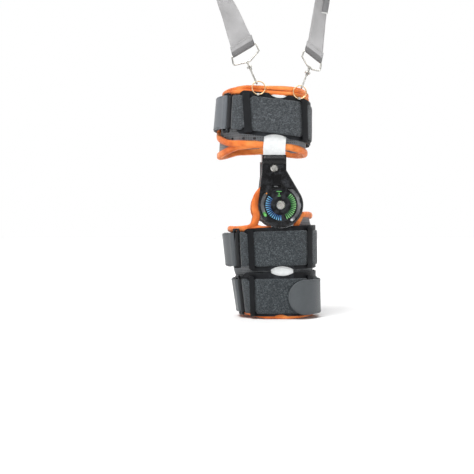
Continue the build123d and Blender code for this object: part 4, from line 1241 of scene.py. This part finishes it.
def make_dial_extras():
    """Amber dot by the extension slot, a green index mark above the pivot, and the arm's rolled top."""
    depth = 79.0
    bars = ((-2.9, 23.4, 8.6, 1.2), (-2.9, 19.2, 1.3, 4.0), (-2.9, 15.6, 5.0, 1.1))
    for side in (-1, 1):
        name = "lateral" if side < 0 else "medial"
        spot = new_mesh(f"{name}_index_dot", *dome((-24.4, side * depth, 19.8), 1.3, 0.5, side))
        finished(spot, "thigh_frame", AMBER)
        points, faces = [], []
        for x, z, wide, high in bars:
            more_points, more_faces = soft_bar((x, side * depth, z), wide, high, 0.35, side)
            faces += [tuple(i + len(points) for i in f) for f in more_faces]
            points += more_points
        mark = new_mesh(f"{name}_index_mark", to_world(points), faces, smooth=False)
        finished(mark, "thigh_frame", GREEN)
        finished(make_roll(name, side, depth), "thigh_frame", COVER)


def make_scale(node, finish, first, last, count):
    """Printed scale: fine radial marks, narrower at the inner end."""
    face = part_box(node)[1][1] / MM
    points, faces = [], []
    for side in (-1, 1):
        for angle in np.radians(np.linspace(first, last, count)):
            along = np.array([math.cos(angle), 0.0, math.sin(angle)])
            across = np.array([-along[2], 0.0, along[0]])
            base = len(points)
            for level in (face - 0.25, face):
                for reach, half in ((17.4, 0.45), (26.0, 0.75)):
                    for sign in (-1, 1):
                        points.append(along * reach + across * half * sign + (0.0, side * level, 0.0))
            for f in ((0, 1, 3, 2), (4, 6, 7, 5), (0, 4, 5, 1), (2, 3, 7, 6), (0, 2, 6, 4), (1, 5, 7, 3)):
                faces.append(tuple(base + i for i in (f if side > 0 else f[::-1])))
    obj = new_mesh(f"{node}_print", to_world(points), faces, smooth=False)
    finished(obj, "thigh_frame", finish, (node,))


def soft_bar(centre, wide, high, thick, side):
    """Small raised bar with bevelled sides."""
    points, faces = [], []
    for lift, grow in ((0.0, 1.0), (0.7, 1.0), (1.0, 0.86)):
        for a, b in ((-1, -1), (1, -1), (1, 1), (-1, 1)):
            inset = (1 - grow) * min(wide, high)
            x, z = centre[0] + a * (wide - inset) / 2, centre[2] + b * (high - inset) / 2
            points.append((x, centre[1] + side * thick * lift, z))
    for layer in range(2):
        for j in range(4):
            k = (j + 1) % 4
            faces.append((layer * 4 + j, layer * 4 + k, layer * 4 + 4 + k, layer * 4 + 4 + j))
    faces += [(3, 2, 1, 0), (8, 9, 10, 11)]
    return points, faces


def make_roll(name, side, depth):
    """Rounded bulge moulded across the top of the hinge's arm."""
    left, right = -30.4, 8.4
    x = np.linspace(left, right, 46)
    path = np.stack([x, np.full(len(x), side * (depth - 0.7)), np.full(len(x), 77.0)], -1)
    near = 1 - np.clip(np.minimum(x - left, right - x) / 3.2, 0, 1)
    full = np.sqrt(np.maximum(1 - near**2, 0.03))
    out = np.broadcast_to(np.array([0.0, side, 0.0]), path.shape)
    return tube_mesh(f"{name}_arm_roll", path, out, 4.2 * full, 7.4 * (0.7 + 0.3 * full), False, power=2.15)


def dome(centre, radius, height, side):
    """Low round button standing on the cover's face."""
    points, faces = [], []
    rings, count = 5, 20
    for r in range(rings):
        f = r / rings
        for j in range(count):
            a = 2 * math.pi * j / count
            x, z = centre[0] + radius * (1 - f) * math.cos(a), centre[2] + radius * (1 - f) * math.sin(a)
            points.append((x, centre[1] + side * height * math.sqrt(1 - (1 - f) ** 2), z))
    points.append((centre[0], centre[1] + side * height, centre[2]))
    for r in range(rings - 1):
        for j in range(count):
            k = (j + 1) % count
            faces.append((r * count + j, r * count + k, (r + 1) * count + k, (r + 1) * count + j))
    top = len(points) - 1
    for j in range(count):
        faces.append(((rings - 1) * count + j, (rings - 1) * count + (j + 1) % count, top))
    faces.append(tuple(reversed(range(count))))
    return to_world(points), faces


make_camera()
make_studio()
paint_cad()
make_liner("thigh_liner_foam", THIGH, THIGH_TOP, THIGH_BOTTOM, (), thigh_room, "thigh_cuff", ("thigh_liner",))
make_liner(
    "calf_liner_foam",
    CALF,
    CALF_TOP,
    CALF_BOTTOM,
    (lobe_mesh(-1), lobe_mesh(1)),
    calf_room,
    "calf",
    ("calf_liner", "lateral_condyle_pad", "medial_condyle_pad"),
)
make_bindings()
# name, cuff, (centre height, tilt), ring x, tab end x, strap bridges, body, tab and felt finish
for strap_set in (
    ("thigh_strap", THIGH, (152.0, -7.0), -91.0, -72.0, ((-64, -51), (37, 48)), "thigh_cuff", TAB_LIGHT, FELT_THIGH),
    ("upper_calf_strap", CALF, (-74.0, 2.0), -73.5, -62.0, ((-56, -45.7), (47, 56)), "calf", TAB_DARK, FELT_CALF),
    ("lower_calf_strap", LOWER_CALF, (-156.0, 1.0), -68.0, -54.0, ((-53, -44.5), (47, 56)), "calf", TAB_DARK, FELT_CALF),
):
    make_strap_set(*strap_set)
make_round_tab()
make_suspender()
make_eyelets()
make_dial_extras()
# Scale marks: deep printed colour at their inner ends and a painted highlight towards their outer ends.
BLUE_PRINT_AND_HIGHLIGHT = mark_paint("extension_blue", (26, 84, 150), (112, 184, 226))
make_scale("extension_scale_marks", BLUE_PRINT_AND_HIGHLIGHT, 145, 270, 15)
GREEN_PRINT_AND_HIGHLIGHT = mark_paint("flexion_green", (26, 116, 44), (140, 216, 132))
make_scale("flexion_scale_marks", GREEN_PRINT_AND_HIGHLIGHT, 47, -64, 14)
